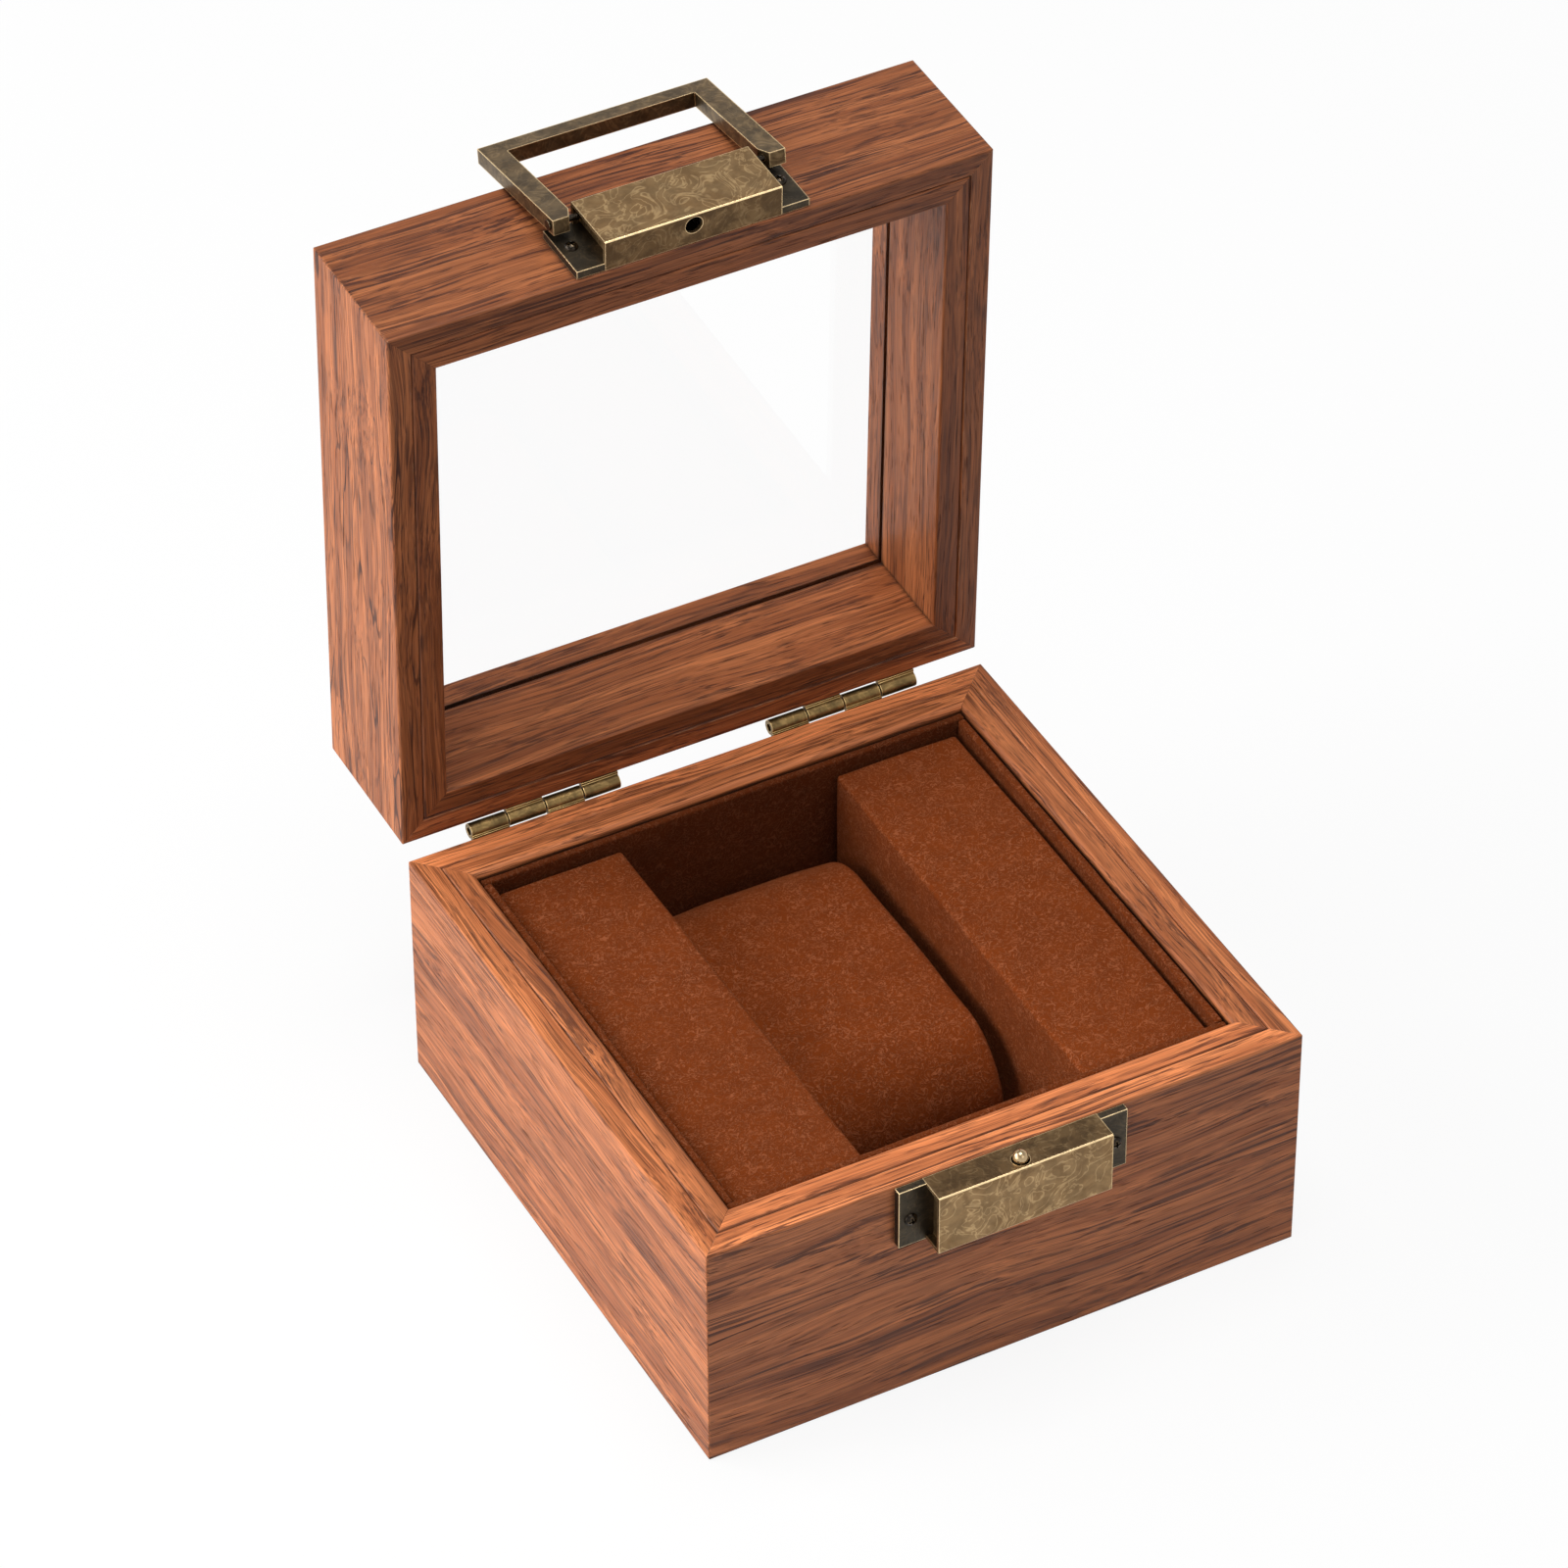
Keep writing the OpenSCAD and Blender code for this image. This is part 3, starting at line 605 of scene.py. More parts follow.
def stations(half, corner, flatSteps, turnSteps):
    # from -half to half: close together over the rounded corners, wider between them
    inner = half - corner
    turned = [inner + corner * math.sin(math.pi / 2 * i / turnSteps) for i in range(1, turnSteps + 1)]
    flat = [-inner + 2 * inner * i / flatSteps for i in range(flatSteps + 1)]
    return [-t for t in reversed(turned)] + flat + turned


def shell(counts, place):
    # the closed skin of a box of counts (x, y, z) stations, each point put by place(i, j, k)
    mesh = bmesh.new()
    made = {}

    def point(i, j, k):
        if (i, j, k) not in made:
            made[(i, j, k)] = mesh.verts.new(place(i, j, k))
        return made[(i, j, k)]

    for axis in range(3):
        a, b = [n for n in range(3) if n != axis]
        for end in (0, counts[axis] - 1):
            for p in range(counts[a] - 1):
                for q in range(counts[b] - 1):
                    corners = []
                    for dp, dq in ((0, 0), (1, 0), (1, 1), (0, 1)):
                        index = [0, 0, 0]
                        index[axis], index[a], index[b] = end, p + dp, q + dq
                        corners.append(point(*index))
                    mesh.faces.new(corners)
    bmesh.ops.recalc_face_normals(mesh, faces=mesh.faces)
    return mesh


def sink(point, shape, seed):
    # an uneven skin: it only sinks, deepest where the noise is low
    uneven = noise.noise(point / shape["waveSize"] + Vector((seed, 0, 0))) - 0.6
    return shape["wave"] * min(0, uneven)


def wrappedBlock(box, settings, seed):
    # a suede-wrapped block: rounded edges, a low crown, sides drawn in a little, and a slightly uneven skin
    low, high = box
    centre = (low + high) / 2
    half = (high - low) / 2
    rounding = settings["round"]
    rows = [stations(half[n], rounding, settings["steps"][n], cornerSteps) for n in range(3)]

    def place(i, j, k):
        p = Vector((rows[0][i], rows[1][j], rows[2][k]))
        limits = [half[n] - rounding for n in range(3)]
        inner = Vector([max(-limits[n], min(limits[n], p[n])) for n in range(3)])
        out = p - inner
        if out.length > 0:
            p = inner + out.normalized() * rounding
        share = [p[n] / half[n] for n in range(3)]
        bow = [(1 - share[(n + 1) % 3] ** 2) * (1 - share[(n + 2) % 3] ** 2) for n in range(3)]
        for n in range(3):
            drawn = settings["crown"][n] * (1 - bow[n])
            p[n] -= math.copysign(min(1, abs(share[n]) ** 3) * drawn, share[n])
        p += Vector(share) * sink(p, settings, seed)
        return centre + p

    return shell([len(r) for r in rows], place)


cornerSteps = 4    # over each rounded corner
padShape = {"round": 0.9 * mm, "steps": (10, 30, 12), "crown": (0.25 * mm, 0.25 * mm, 0.35 * mm),
            "wave": 0.16 * mm, "waveSize": 16 * mm}
boardShape = {"round": 0.45 * mm, "steps": (24, 24, 12), "crown": (0.0, 0.0, 0.12 * mm),
              "wave": 0.12 * mm, "waveSize": 7 * mm}
cardShape = {"round": 0.5 * mm, "steps": (24, 24, 2), "crown": (0.0, 0.0, 0.1 * mm),
             "wave": 0.1 * mm, "waveSize": 14 * mm}

# node: shape, how tightly it is filled, brightness of its suede, which is painted light and shade: the liner
# boards down in the well are darker, the pads brighter
suedeBlocks = {
    "left_pad": (padShape, 0.9, 1.02),
    "right_pad": (padShape, 0.9, 1.1),
    "liner_front_board": (boardShape, 0.8, 0.8),
    "liner_back_board": (boardShape, 0.8, 0.62),
    "liner_left_board": (boardShape, 0.8, 0.85),
    "liner_right_board": (boardShape, 0.8, 0.85),
    "liner_floor": (cardShape, 0.8, 0.7),
}
# how far apart the blocks' noises lie, so that no two skins or naps are alike
suedeSteps = {"skin": 3.7, "nap": (37.0, 11.0, 5.0)}


def makeSuedeBlocks():
    for seed, (node, (shape, fill, brightness)) in enumerate(suedeBlocks.items()):
        mesh = wrappedBlock(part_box(node), shape, seed * suedeSteps["skin"])
        shift = tuple(seed * step for step in suedeSteps["nap"])
        material = suedeMaterial(f"{node}Suede", shift, brightness)
        piece = newPiece(f"{node}Wrap", mesh, material, smoothBelow=60)
        stand(piece, node)


makeSuedeBlocks()
print("suede blocks made")


# Watch pillow: a soft cuff, a rounded bar wrapped in suede with a panel let into each end

pillowShape = {
    "round": 1.7 * mm,       # where the wrap turns over the end
    "crown": 0.45 * mm,      # rise of the wrap between the ends
    "around": 96,
    "flatRings": 14,
    "roundRings": 6,
    "endRings": 9,
    "endIn": 0.15 * mm,      # the end panel lies this far in
    "seamSink": 0.3 * mm,    # and this much deeper at its seam
    "seamIn": 1.5 * mm,
    "seamWidth": 0.35 * mm,
    "wave": 0.14 * mm,
    "waveSize": 14 * mm,
    "seed": 4.2,
    "napShift": (211.0, 83.0, 17.0),
    "fill": 0.85,
    # the pillow's suede is brightened, painted light
    "brightness": 1.12,
}


def makePillow():
    low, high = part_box("watch_pillow")
    centre = (low + high) / 2
    halfX = (high.x - low.x) / 2
    radius = (high.z - low.z) / 2
    reach = (high.y - low.y) / 2 - radius
    around = pillowShape["around"]
    # the outline in the YZ plane: two half circles and the flats between them
    length = 4 * reach + 2 * math.pi * radius

    def outline(t, inset):
        s = (t % 1) * length
        r = radius - inset
        if s < 2 * reach:
            return Vector((0, -reach + s, r))
        s -= 2 * reach
        if s < math.pi * radius:
            a = s / radius
            return Vector((0, reach + r * math.sin(a), r * math.cos(a)))
        s -= math.pi * radius
        if s < 2 * reach:
            return Vector((0, reach - s, -r))
        a = (s - 2 * reach) / radius
        return Vector((0, -reach - r * math.sin(a), -r * math.cos(a)))

    mesh = bmesh.new()
    rounding, crown = pillowShape["round"], pillowShape["crown"]
    rows = stations(halfX, rounding, pillowShape["flatRings"], pillowShape["roundRings"])
    rings = []

    def ring(x, inset):
        verts = []
        for n in range(around):
            p = outline(n / around, inset)
            p.x = x
            spot = p * (1 + sink(p, pillowShape, pillowShape["seed"]) / radius)
            verts.append(mesh.verts.new(centre + spot))
        rings.append(verts)

    capRows = []
    for n in range(pillowShape["endRings"]):
        share = n / pillowShape["endRings"]
        inset = rounding + (radius - rounding) * (1 - share)
        seam = math.exp(-((inset - rounding - pillowShape["seamIn"]) / pillowShape["seamWidth"]) ** 2)
        capRows.append((halfX - pillowShape["endIn"] - pillowShape["seamSink"] * seam, inset))
    for x, inset in capRows:
        ring(-x, inset)
    for x in rows:
        over = max(0.0, abs(x) - (halfX - rounding))
        turned = rounding - math.sqrt(max(0.0, rounding ** 2 - over ** 2))
        ring(x, turned + crown * (x / halfX) ** 2)
    for x, inset in reversed(capRows):
        ring(x, inset)
    for first, second in zip(rings, rings[1:]):
        for n in range(around):
            m = (n + 1) % around
            mesh.faces.new((first[n], first[m], second[m], second[n]))
    bmesh.ops.remove_doubles(mesh, verts=mesh.verts, dist=joinWithin)
    # each end closes over the flat strip between the two roller centres
    unclosed = [e for e in mesh.edges if len(e.link_faces) == 1]
    if unclosed:
        bmesh.ops.holes_fill(mesh, edges=unclosed, sides=0)
    bmesh.ops.dissolve_degenerate(mesh, edges=mesh.edges, dist=joinWithin)
    bmesh.ops.recalc_face_normals(mesh, faces=mesh.faces)
    suede = suedeMaterial("pillowSuede", pillowShape["napShift"], pillowShape["brightness"])
    piece = newPiece("watchPillowWrap", mesh, suede, smoothBelow=70)
    stand(piece, "watch_pillow")


makePillow()
print("pillow made")


# Antique brass: brushed swirls, tarnish spots, darker narrow sides on the cases, bright on the worn edges

brassFinish = {"bump": 0.03 * mm, "metallic": 0.92, "rubbedFromEdge": 0.4 * mm, "shift": (19.0, 7.0, 0.0)}

# in millimetres
brassSizes = {"curls": 6, "clouding": 4.5, "tarnish": 3, "rubbed": 1.8}


def makeAgedBrass():
    inputs = {"Vector": "", "Base": (0.3, 0.17, 0.07, 1), "Dark": (0.1, 0.06, 0.03, 1),
              "Bright": (0.6, 0.4, 0.18, 1), "Edge": (0.75, 0.53, 0.27, 1), "Worn": 0.0, "Flank": 0.0,
              "Swirl": 0.5, "Tarnish": 0.3, "Polish": 0.0}
    tree, given, result = newGroup("agedBrass", inputs)
    vector, sizes = given["Vector"], brassSizes
    # brushed swirls: thin curled arcs that run every way, over a soft clouding
    curls = cloud(tree, vector, sizes["curls"], roughness=0.55, distortion=2.4)
    arcs = spread(tree, calc(tree, "ABSOLUTE", calc(tree, "SUBTRACT", curls, 0.5)), 0.0, 0.05, 1, 0)
    patches = cloud(tree, vector, sizes["clouding"], detail=4, roughness=0.6, distortion=0.8)
    cloudy = spread(tree, patches, 0.3, 0.7)
    swirl = plus(tree, times(tree, arcs, 0.7), times(tree, cloudy, 0.35))
    swirled = times(tree, swirl, given["Swirl"], True)
    base = tint(tree, swirled, given["Base"], given["Bright"])
    spots = spread(tree, cloud(tree, vector, sizes["tarnish"], detail=4, roughness=0.6), 0.4, 0.64)
    # tarnish spots, and the narrow sides of the cases drawn darker
    tarnish = plus(tree, times(tree, spots, given["Tarnish"]), times(tree, given["Flank"], 0.62), True)
    base = tint(tree, tarnish, base, given["Dark"])
    # the rounded normal leaves the flat one near an edge, which is where the finish has rubbed through
    rounded = put(tree, "ShaderNodeBevel", {"Radius": brassFinish["rubbedFromEdge"]}, samples=8).outputs[0]
    flatNormal = put(tree, "ShaderNodeNewGeometry").outputs["Normal"]
    product = put(tree, "ShaderNodeVectorMath", {0: rounded, 1: flatNormal}, operation="DOT_PRODUCT")
    nearEdge = calc(tree, "MAXIMUM", spread(tree, product.outputs["Value"], 0.88, 0.99, 1, 0), given["Worn"])
    rub = spread(tree, cloud(tree, vector, sizes["rubbed"]), 0.3, 0.5, 0.7, 1)
    edge = times(tree, nearEdge, rub, True)
    tree.links.new(tint(tree, edge, base, given["Edge"]), result["Colour"])
    smoother = plus(tree, times(tree, edge, 0.1), given["Polish"])
    rough = calc(tree, "SUBTRACT", spread(tree, patches, 0.3, 0.7, 0.48, 0.34, False), smoother)
    tree.links.new(rough, result["Roughness"])
    tree.links.new(plus(tree, times(tree, arcs, 0.4), patches), result["Height"])
    return tree


agedBrass = makeAgedBrass()

# the colours of each piece of the metalwork, the plates and screws near black
brassTones = {
    "case": {
        "Base": (0.215, 0.125, 0.052, 1), "Dark": (0.08, 0.047, 0.021, 1), "Bright": (0.78, 0.54, 0.27, 1),
        "Edge": (0.88, 0.65, 0.36, 1), "Swirl": 0.48, "Tarnish": 0.32,
    },
    "plate": {
        "Base": (0.05, 0.04, 0.027, 1), "Dark": (0.018, 0.015, 0.011, 1), "Bright": (0.16, 0.11, 0.06, 1),
        "Edge": (0.86, 0.64, 0.36, 1), "Swirl": 0.3, "Tarnish": 0.5,
    },
    "bail": {
        "Base": (0.135, 0.088, 0.043, 1), "Dark": (0.036, 0.025, 0.014, 1), "Bright": (0.4, 0.27, 0.13, 1),
        "Edge": (0.95, 0.7, 0.38, 1), "Swirl": 0.4, "Tarnish": 0.55,
    },
    "hinge": {
        "Base": (0.19, 0.122, 0.045, 1), "Dark": (0.04, 0.027, 0.013, 1), "Bright": (0.46, 0.3, 0.12, 1),
        "Edge": (0.66, 0.46, 0.2, 1), "Swirl": 0.35, "Tarnish": 0.55,
    },
    "stud": {
        "Base": (0.5, 0.36, 0.2, 1), "Dark": (0.1, 0.065, 0.035, 1), "Bright": (0.8, 0.62, 0.38, 1),
        "Edge": (0.9, 0.72, 0.45, 1), "Swirl": 0.35, "Tarnish": 0.25, "Polish": 0.22,
    },
    "screw": {
        "Base": (0.022, 0.017, 0.013, 1), "Dark": (0.008, 0.007, 0.005, 1), "Bright": (0.08, 0.06, 0.035, 1),
        "Edge": (0.1, 0.07, 0.04, 1), "Swirl": 0.15, "Tarnish": 0.3, "Polish": 0.16,
    },
}


def brassMaterial(tone, count):
    material, tree, shader = newMaterial(f"{tone}Brass")
    shift = tuple(count * step for step in brassFinish["shift"])
    vector = placed(tree, (0, 0, 0), shift)
    node = useGroup(tree, shader, agedBrass, vector, brassTones[tone], brassFinish["bump"])
    joinMark(tree, node, "worn")
    joinMark(tree, node, "flank")
    setInputs(shader, {"Metallic": brassFinish["metallic"]})
    return material


brass = {tone: brassMaterial(tone, count) for count, tone in enumerate(brassTones)}

# node: tone, easing of the edges in mm
metalwork = {
    "base_catch_plate": ("plate", 0.26), "base_catch_case": ("case", 0.3), "catch_stud": ("stud", 0.06),
    "lid_catch_plate": ("plate", 0.26), "lid_catch_case": ("case", 0.3),
    "handle_bail": ("bail", 0.32), "handle_pins": ("screw", 0.08),
    "left_hinge_base_leaf": ("hinge", 0.1), "right_hinge_base_leaf": ("hinge", 0.1),
    "left_hinge_lid_leaf": ("hinge", 0.1), "right_hinge_lid_leaf": ("hinge", 0.1),
    "left_hinge_pin": ("hinge", 0.08), "right_hinge_pin": ("hinge", 0.08),
}


def makeMetalwork():
    for node, (tone, easing) in metalwork.items():
        name = pieceName(node, "Brass")
        if tone == "case":
            lift = openAngle if node.startswith("lid") else 0
            piece = easedCopy(node, name, brass[tone], easing * mm, plateNode=node.replace("case", "plate"),
                              upward=Vector((0, math.sin(lift), math.cos(lift))),
                              outward=Vector((0, -math.cos(lift), math.sin(lift))))
        else:
            piece = easedCopy(node, name, brass[tone], easing * mm)
        stand(piece, node)


makeMetalwork()
print("metalwork made")


# Screws: cross-recessed domed heads on plain shanks, set where the frame has them

screwShape = {
    "Head Radius": 1.3 * mm,
    "Head Height": 0.9 * mm,
    "Shank Radius": 0.8 * mm,
    "Recess Length": 1.5 * mm,
    "Recess Width": 0.36 * mm,
    "Recess Depth": 0.6 * mm,
}
screwMesh = {
    "domeRings": 8,
    "headSides": 32,
    "shankSides": 20,
    "joinWithin": 0.002 * mm,
    "turnSeed": 5,
    "sharpAbove": 35,
}


def screwPlaces(node):
    # the top of each head, the way it faces and the screw's length, read from the frame's own screws
    mesh = mergedMesh(node)
    places = []
    waiting = set(mesh.verts)
    while waiting:
        island, edge = set(), [waiting.pop()]
        while edge:
            vert = edge.pop()
            island.add(vert)
            for link in vert.link_edges:
                other = link.other_vert(vert)
                if other in waiting:
                    waiting.discard(other)
                    edge.append(other)
        points = [v.co.copy() for v in island]
        low = Vector([min(p[n] for p in points) for n in range(3)])
        high = Vector([max(p[n] for p in points) for n in range(3)])
        size = high - low
        axis = max(range(3), key=lambda n: size[n])
        centre = (low + high) / 2
        # the head is at the wider end
        across = [n for n in range(3) if n != axis]
        widths = {-1: 0.0, 1: 0.0}
        for p in points:
            if p[axis] != centre[axis]:
                end = 1 if p[axis] > centre[axis] else -1
                widths[end] = max(widths[end], math.hypot(*[(p - centre)[n] for n in across]))
        aim = Vector((0, 0, 0))
        aim[axis] = 1 if widths[1] > widths[-1] else -1
        top = centre.copy()
        top[axis] = high[axis] if aim[axis] > 0 else low[axis]
        places.append((top, aim, size[axis]))
    mesh.free()
    return sorted(places, key=lambda place: tuple(place[0]))


def makeScrewTree():
    tree = bpy.data.node_groups.new("screwSet", "GeometryNodeTree")
    addSocket(tree, "Geometry", "Geometry")
    for label, value in screwShape.items():
        addSocket(tree, label, "Float").default_value = value
    addSocket(tree, "Screw Length", "Float")
    addSocket(tree, "Finish", "Material")
    addSocket(tree, "Geometry", "Geometry", "OUTPUT")
    given = tree.nodes.new("NodeGroupInput").outputs
    result = tree.nodes.new("NodeGroupOutput").inputs

    # the dome is a grid turned about the screw's axis: u from its top to its rim, v once round
    gridSize = {"Size X": 1.0, "Size Y": 1.0, "Vertices X": screwMesh["domeRings"] + 1,
                "Vertices Y": screwMesh["headSides"] + 1}
    grid = put(tree, "GeometryNodeMeshGrid", gridSize).outputs["Mesh"]
    position = put(tree, "GeometryNodeInputPosition").outputs[0]
    xyz = put(tree, "ShaderNodeSeparateXYZ", {0: position}).outputs
    slant = times(tree, plus(tree, xyz[0], 0.5), math.pi / 2)
    about = times(tree, plus(tree, xyz[1], 0.5), 2 * math.pi)
    radius = times(tree, calc(tree, "SINE", slant), given["Head Radius"])
    height = times(tree, calc(tree, "COSINE", slant), given["Head Height"])
    level = calc(tree, "SUBTRACT", height, given["Head Height"])
    spotX = times(tree, radius, calc(tree, "COSINE", about))
    spotY = times(tree, radius, calc(tree, "SINE", about))
    spot = put(tree, "ShaderNodeCombineXYZ", {0: spotX, 1: spotY, 2: level}).outputs[0]
    dome = put(tree, "GeometryNodeSetPosition", {"Geometry": grid, "Position": spot})
    # a disc closes the dome from below; it faces down, so that the head is one closed skin
    sunk = times(tree, given["Head Height"], -1.0)
    discSize = {"Vertices": screwMesh["headSides"], "Radius": given["Head Radius"]}
    disc = put(tree, "GeometryNodeMeshCircle", discSize, fill_type="NGON")
    facingDown = put(tree, "GeometryNodeFlipFaces", {"Mesh": disc.outputs[0]})
    under = put(tree, "GeometryNodeTransform", {
        "Geometry": facingDown.outputs[0],
        "Translation": put(tree, "ShaderNodeCombineXYZ", {2: sunk}).outputs[0],
    })
    both = put(tree, "GeometryNodeJoinGeometry")
    tree.links.new(under.outputs[0], both.inputs[0])
    tree.links.new(dome.outputs[0], both.inputs[0])
    merging = {"Geometry": both.outputs[0], "Distance": screwMesh["joinWithin"]}
    head = put(tree, "GeometryNodeMergeByDistance", merging)

    def bar(sizeX, sizeY):
        deep = times(tree, given["Recess Depth"], 2.0)
        size = put(tree, "ShaderNodeCombineXYZ", {0: sizeX, 1: sizeY, 2: deep})
        return put(tree, "GeometryNodeMeshCube", {"Size": size.outputs[0]}).outputs["Mesh"]

    # the two bars of the cross are joined before they are cut out of the head
    cross = put(tree, "GeometryNodeMeshBoolean", operation="UNION", solver="EXACT")
    tree.links.new(bar(given["Recess Length"], given["Recess Width"]), cross.inputs["Mesh 2"])
    tree.links.new(bar(given["Recess Width"], given["Recess Length"]), cross.inputs["Mesh 2"])
    carved = put(tree, "GeometryNodeMeshBoolean", operation="DIFFERENCE", solver="EXACT")
    tree.links.new(head.outputs[0], carved.inputs["Mesh 1"])
    tree.links.new(cross.outputs["Mesh"], carved.inputs["Mesh 2"])

    shankLength = calc(tree, "SUBTRACT", given["Screw Length"], given["Head Height"])
    shankSize = {"Vertices": screwMesh["shankSides"], "Radius": given["Shank Radius"], "Depth": shankLength}
    shank = put(tree, "GeometryNodeMeshCylinder", shankSize)
    down = calc(tree, "SUBTRACT", sunk, times(tree, shankLength, 0.5))
    lowered = put(tree, "GeometryNodeTransform", {
        "Geometry": shank.outputs[0],
        "Translation": put(tree, "ShaderNodeCombineXYZ", {2: down}).outputs[0],
    })
    screw = put(tree, "GeometryNodeJoinGeometry")
    tree.links.new(lowered.outputs[0], screw.inputs[0])
    tree.links.new(carved.outputs["Mesh"], screw.inputs[0])

    aim = put(tree, "GeometryNodeInputNamedAttribute", {"Name": "aim"}, data_type="FLOAT_VECTOR").outputs[0]
    turned = put(tree, "FunctionNodeAlignRotationToVector", {"Vector": aim}, axis="Z").outputs[0]
    standing = {"Points": given["Geometry"], "Instance": screw.outputs[0], "Rotation": turned}
    points = put(tree, "GeometryNodeInstanceOnPoints", standing)
    turns = {"Min": (0, 0, 0), "Max": (0, 0, math.pi), "Seed": screwMesh["turnSeed"]}
    dice = put(tree, "FunctionNodeRandomValue", turns, data_type="FLOAT_VECTOR").outputs[0]
    spinning = {"Instances": points.outputs[0], "Rotation": dice, "Local Space": True}
    spun = put(tree, "GeometryNodeRotateInstances", spinning)
    real = put(tree, "GeometryNodeRealizeInstances", {"Geometry": spun.outputs[0]})
    done = put(tree, "GeometryNodeSetMaterial", {"Geometry": real.outputs[0], "Material": given["Finish"]})
    tree.links.new(done.outputs[0], result[0])
    return tree


screwTree = makeScrewTree()


def makeScrews(node):
    places = screwPlaces(node)
    name = pieceName(node, "Set")
    seedMesh = bpy.data.meshes.new(name + "Points")
    seedMesh.from_pydata([place[0] for place in places], [], [])
    aims = seedMesh.attributes.new("aim", "FLOAT_VECTOR", "POINT")
    for n, place in enumerate(places):
        aims.data[n].vector = place[1]
    holder = addObject(name + "Points", seedMesh)
    modifier = holder.modifiers.new("screws", "NODES")
    modifier.node_group = screwTree
    items = screwTree.interface.items_tree
    sockets = {item.name: item.identifier for item in items if item.in_out == "INPUT"}
    for label, value in screwShape.items():
        modifier[sockets[label]] = value
    modifier[sockets["Screw Length"]] = places[0][2]
    modifier[sockets["Finish"]] = brass["screw"]
    depsgraph = bpy.context.evaluated_depsgraph_get()
    solid = bpy.data.meshes.new_from_object(holder.evaluated_get(depsgraph))
    bpy.data.objects.remove(holder)
    solid.set_sharp_from_angle(angle=math.radians(screwMesh["sharpAbove"]))
    stand(addObject(name, solid), node)


for screwNode in ("base_catch_screws", "lid_catch_screws", "hinge_base_screws", "hinge_lid_screws"):
    makeScrews(screwNode)
print("screws made")


# Window pane

paneGlass = {"Base Color": (1, 1, 1, 1), "Roughness": 0.0, "IOR": 1.25, "Transmission Weight": 1.0}
paneClear = (0.98, 0.99, 0.985, 1)    # what light keeps of its colour through the pane
paneEasing = 0.1 * mm


def makePane():
    material, tree, shader = newMaterial("clearPane")
    setInputs(shader, paneGlass)
    path = put(tree, "ShaderNodeLightPath").outputs
    clear = put(tree, "ShaderNodeBsdfTransparent", {"Color": paneClear}).outputs[0]
    lampRays = calc(tree, "MAXIMUM", path["Is Shadow Ray"], path["Is Diffuse Ray"])
    mixed = put(tree, "ShaderNodeMixShader", {0: lampRays, 1: shader.outputs[0], 2: clear})
    end = [n for n in tree.nodes if n.type == "OUTPUT_MATERIAL"][0]
    tree.links.new(mixed.outputs[0], end.inputs["Surface"])
    piece = easedCopy("window_pane", "windowPaneClear", material, paneEasing)
    stand(piece, "window_pane")


makePane()


# Hidden pieces keep their nodes and get a finish

plainFinishes = {
    "base_felt": {
        "name": "feltFinish", "light": (0.045, 0.032, 0.026, 1), "deep": (0.02, 0.014, 0.011, 1),
        "size": 0.5, "roughness": 0.92, "bump": 0.2 * mm, "metallic": 0.0,
    },
    "base_bottom_panel": {
        "name": "panelFinish", "light": (0.45, 0.28, 0.15, 1), "deep": (0.33, 0.2, 0.1, 1),
        "size": (22, 0.8, 0.8), "roughness": 0.7, "bump": 0.08 * mm, "metallic": 0.0,
    },
    "catch_clip": {
        "name": "clipFinish", "light": (0.34, 0.32, 0.29, 1), "deep": (0.22, 0.2, 0.18, 1),
        "size": (6, 0.3, 0.3), "roughness": 0.38, "bump": 0.02 * mm, "metallic": 1.0,
    },
}


def plainFinish(node, look):
    material, tree, shader = newMaterial(look["name"])
    fleck = cloud(tree, placed(tree), look["size"], detail=3, roughness=0.6)
    tree.links.new(tint(tree, spread(tree, fleck, 0.3, 0.7), look["deep"], look["light"]),
                   shader.inputs["Base Color"])
    low, high = look["roughness"] - 0.06, look["roughness"] + 0.06
    tree.links.new(spread(tree, fleck, 0.3, 0.7, low, high), shader.inputs["Roughness"])
    joinBump(tree, shader, look["bump"], fleck)
    setInputs(shader, {"Metallic": look["metallic"]})
    slots = frame["nodes"][node].data.materials
    slots.clear()
    slots.append(material)


for hiddenNode, hiddenLook in plainFinishes.items():
    plainFinish(hiddenNode, hiddenLook)
print("pane and hidden pieces finished")


# Light, floor and background

studio = {
    "ambient": 0.03,
    "ceiling": 0.45,      # brightness of the surroundings overhead, as polished faces mirror them
    "floorTone": 0.82,
    "floorShade": 0.1,    # how much of the real light on the floor the camera sees
    "floorReach": 6,
    "floorDrop": 0.1 * mm,
    "aimAt": (0, 0, 0.06),
    "lamps": {
        "windowLow": {"place": (-1.2, 0, 0.4), "size": 0.8, "power": 6.7},
        "windowBack": {"place": (-1.0, 0.6, 0.7), "size": 0.8, "power": 12.3},
        "overhead": {"place": (0, 0, 1.4), "size": 0.8, "power": 13.8},
        "frontFill": {"place": (0.3, -1.3, 1.2), "size": 1.0, "power": 3.8},
    },
}


def seenRays(tree):
    path = put(tree, "ShaderNodeLightPath").outputs
    direct = calc(tree, "MAXIMUM", path["Is Camera Ray"], path["Is Glossy Ray"])
    return calc(tree, "MAXIMUM", direct, path["Is Transmission Ray"])


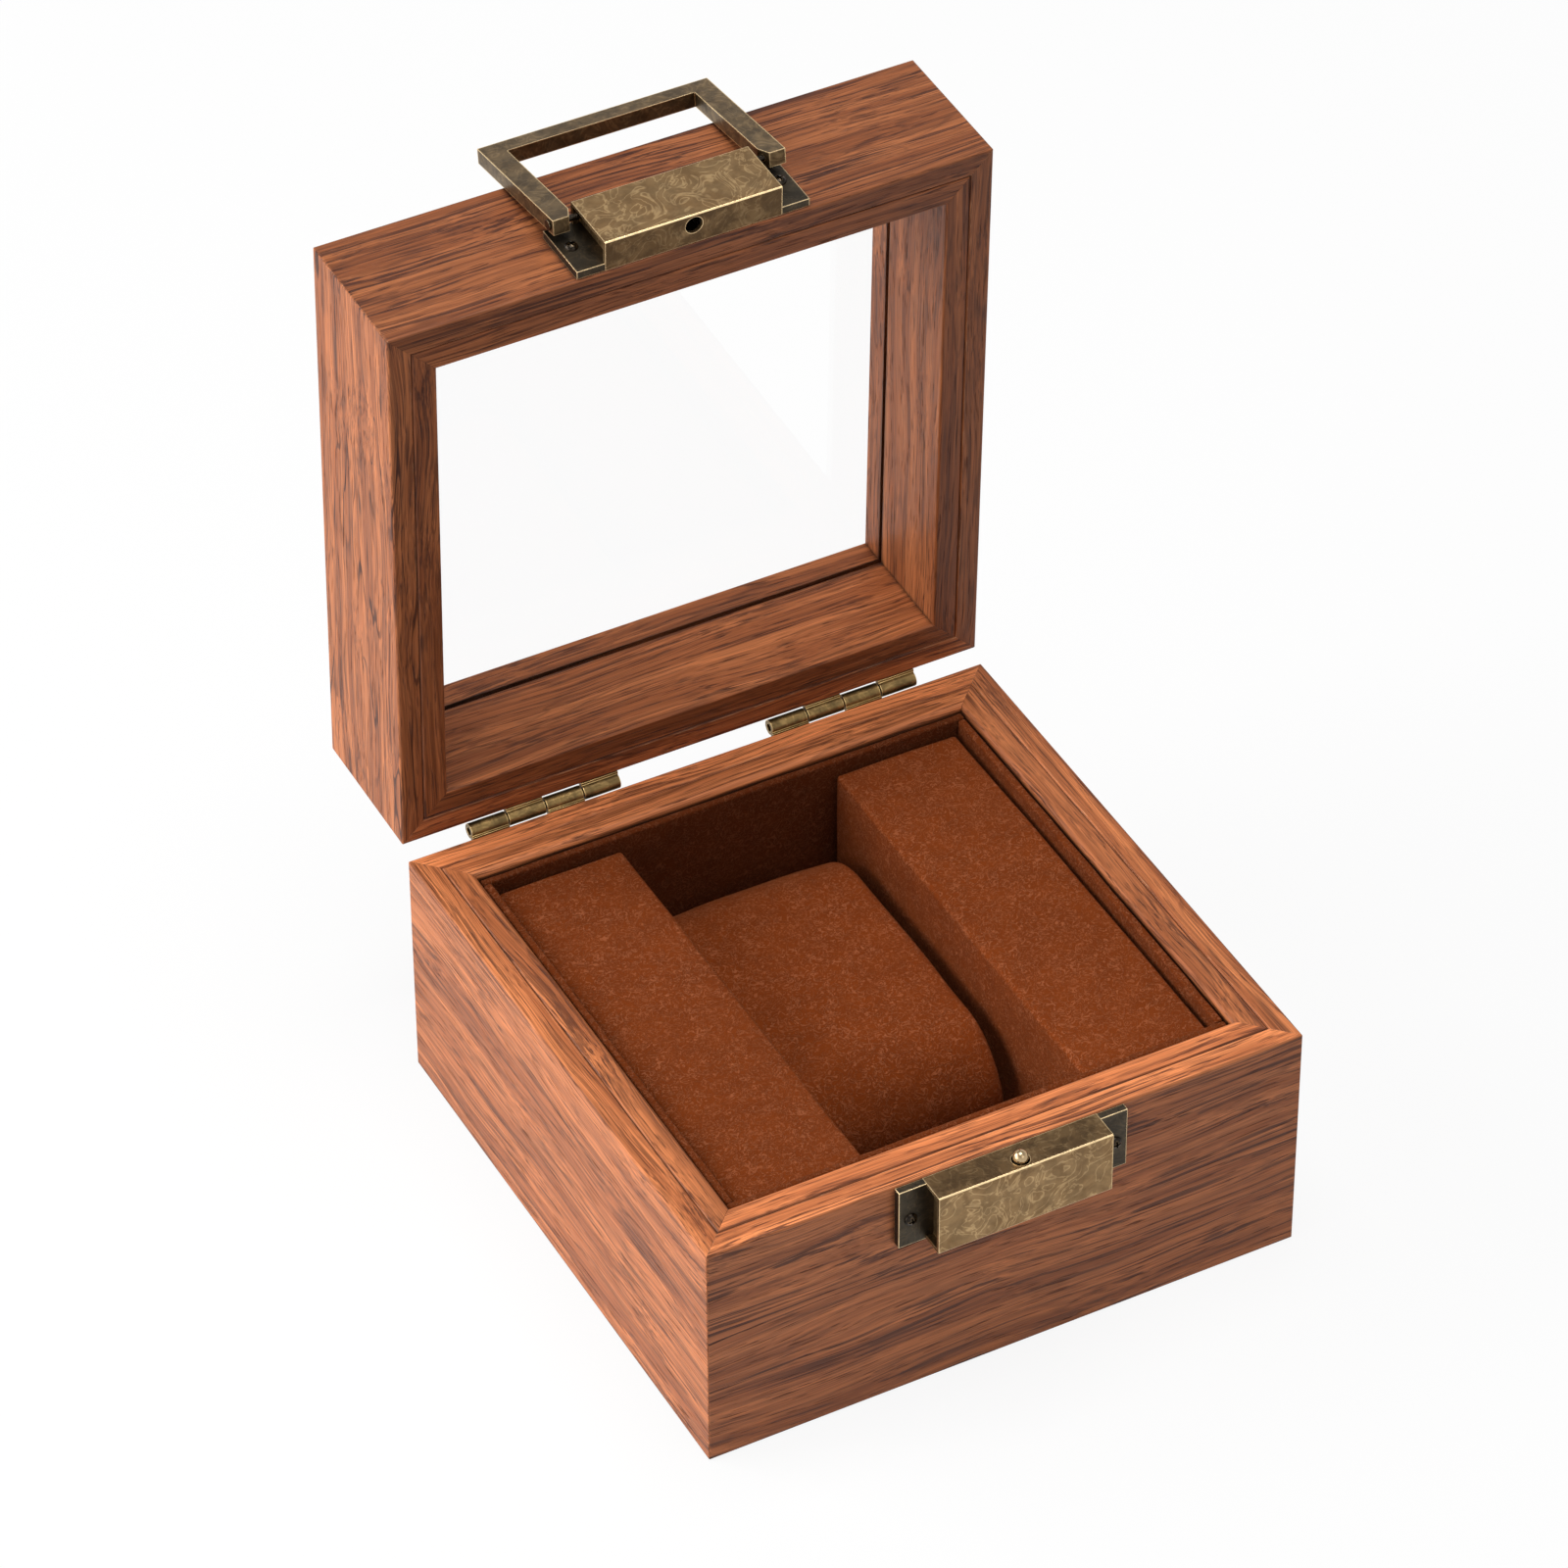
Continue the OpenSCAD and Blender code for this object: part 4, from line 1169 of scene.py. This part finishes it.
def makeWorld():
    world = bpy.data.worlds.new("studioWorld")
    world.use_nodes = True
    tree = world.node_tree
    tree.nodes.clear()
    soft = put(tree, "ShaderNodeBackground", {"Color": (1, 1, 1, 1), "Strength": studio["ambient"]})
    direction = put(tree, "ShaderNodeTexCoord").outputs["Generated"]
    upward = put(tree, "ShaderNodeSeparateXYZ", {0: direction}).outputs[2]
    overhead = spread(tree, upward, 0.15, 0.9, 0, 1 - studio["ceiling"])
    mirrored = times(tree, overhead, put(tree, "ShaderNodeLightPath").outputs["Is Glossy Ray"])
    brightness = calc(tree, "SUBTRACT", 1.0, mirrored)
    white = put(tree, "ShaderNodeBackground", {"Color": (1, 1, 1, 1), "Strength": brightness})
    mixed = put(tree, "ShaderNodeMixShader", {0: seenRays(tree), 1: soft.outputs[0], 2: white.outputs[0]})
    end = put(tree, "ShaderNodeOutputWorld")
    tree.links.new(mixed.outputs[0], end.inputs["Surface"])
    # no lamp-like sampling of the surroundings, as they look different to each kind of ray
    world.cycles.sampling_method = "NONE"
    bpy.context.scene.world = world


def makeFloor():
    mesh = bmesh.new()
    bmesh.ops.create_grid(mesh, x_segments=1, y_segments=1, size=studio["floorReach"])
    bmesh.ops.translate(mesh, verts=mesh.verts, vec=(0, 0, -studio["floorDrop"]))
    data = bpy.data.meshes.new("paleFloor")
    mesh.to_mesh(data)
    mesh.free()
    floor = addObject("paleFloor", data)
    material = bpy.data.materials.new("floorWhite")
    material.use_nodes = True
    tree = material.node_tree
    tree.nodes.clear()
    tone = studio["floorTone"]
    matt = put(tree, "ShaderNodeBsdfDiffuse", {"Color": (tone, tone, tone, 1)}).outputs[0]
    glow = put(tree, "ShaderNodeEmission", {"Color": (1, 1, 1, 1), "Strength": 1.0}).outputs[0]
    share = times(tree, seenRays(tree), 1 - studio["floorShade"])
    mixed = put(tree, "ShaderNodeMixShader", {0: share, 1: matt, 2: glow}).outputs[0]
    end = put(tree, "ShaderNodeOutputMaterial")
    tree.links.new(mixed, end.inputs["Surface"])
    material.cycles.emission_sampling = "NONE"
    data.materials.append(material)


def makeLamp(name, place, size, power):
    data = bpy.data.lights.new(name, "AREA")
    data.shape = "SQUARE"
    data.size = size
    data.energy = power
    lamp = addObject(name, data)
    lamp.location = place
    ahead = Vector(studio["aimAt"]) - Vector(place)
    lamp.rotation_euler = ahead.to_track_quat("-Z", "Y").to_euler()


makeWorld()
makeFloor()
for lampName, lamp in studio["lamps"].items():
    makeLamp(lampName, **lamp)
print("studio lit")

bpy.context.view_layer.update()
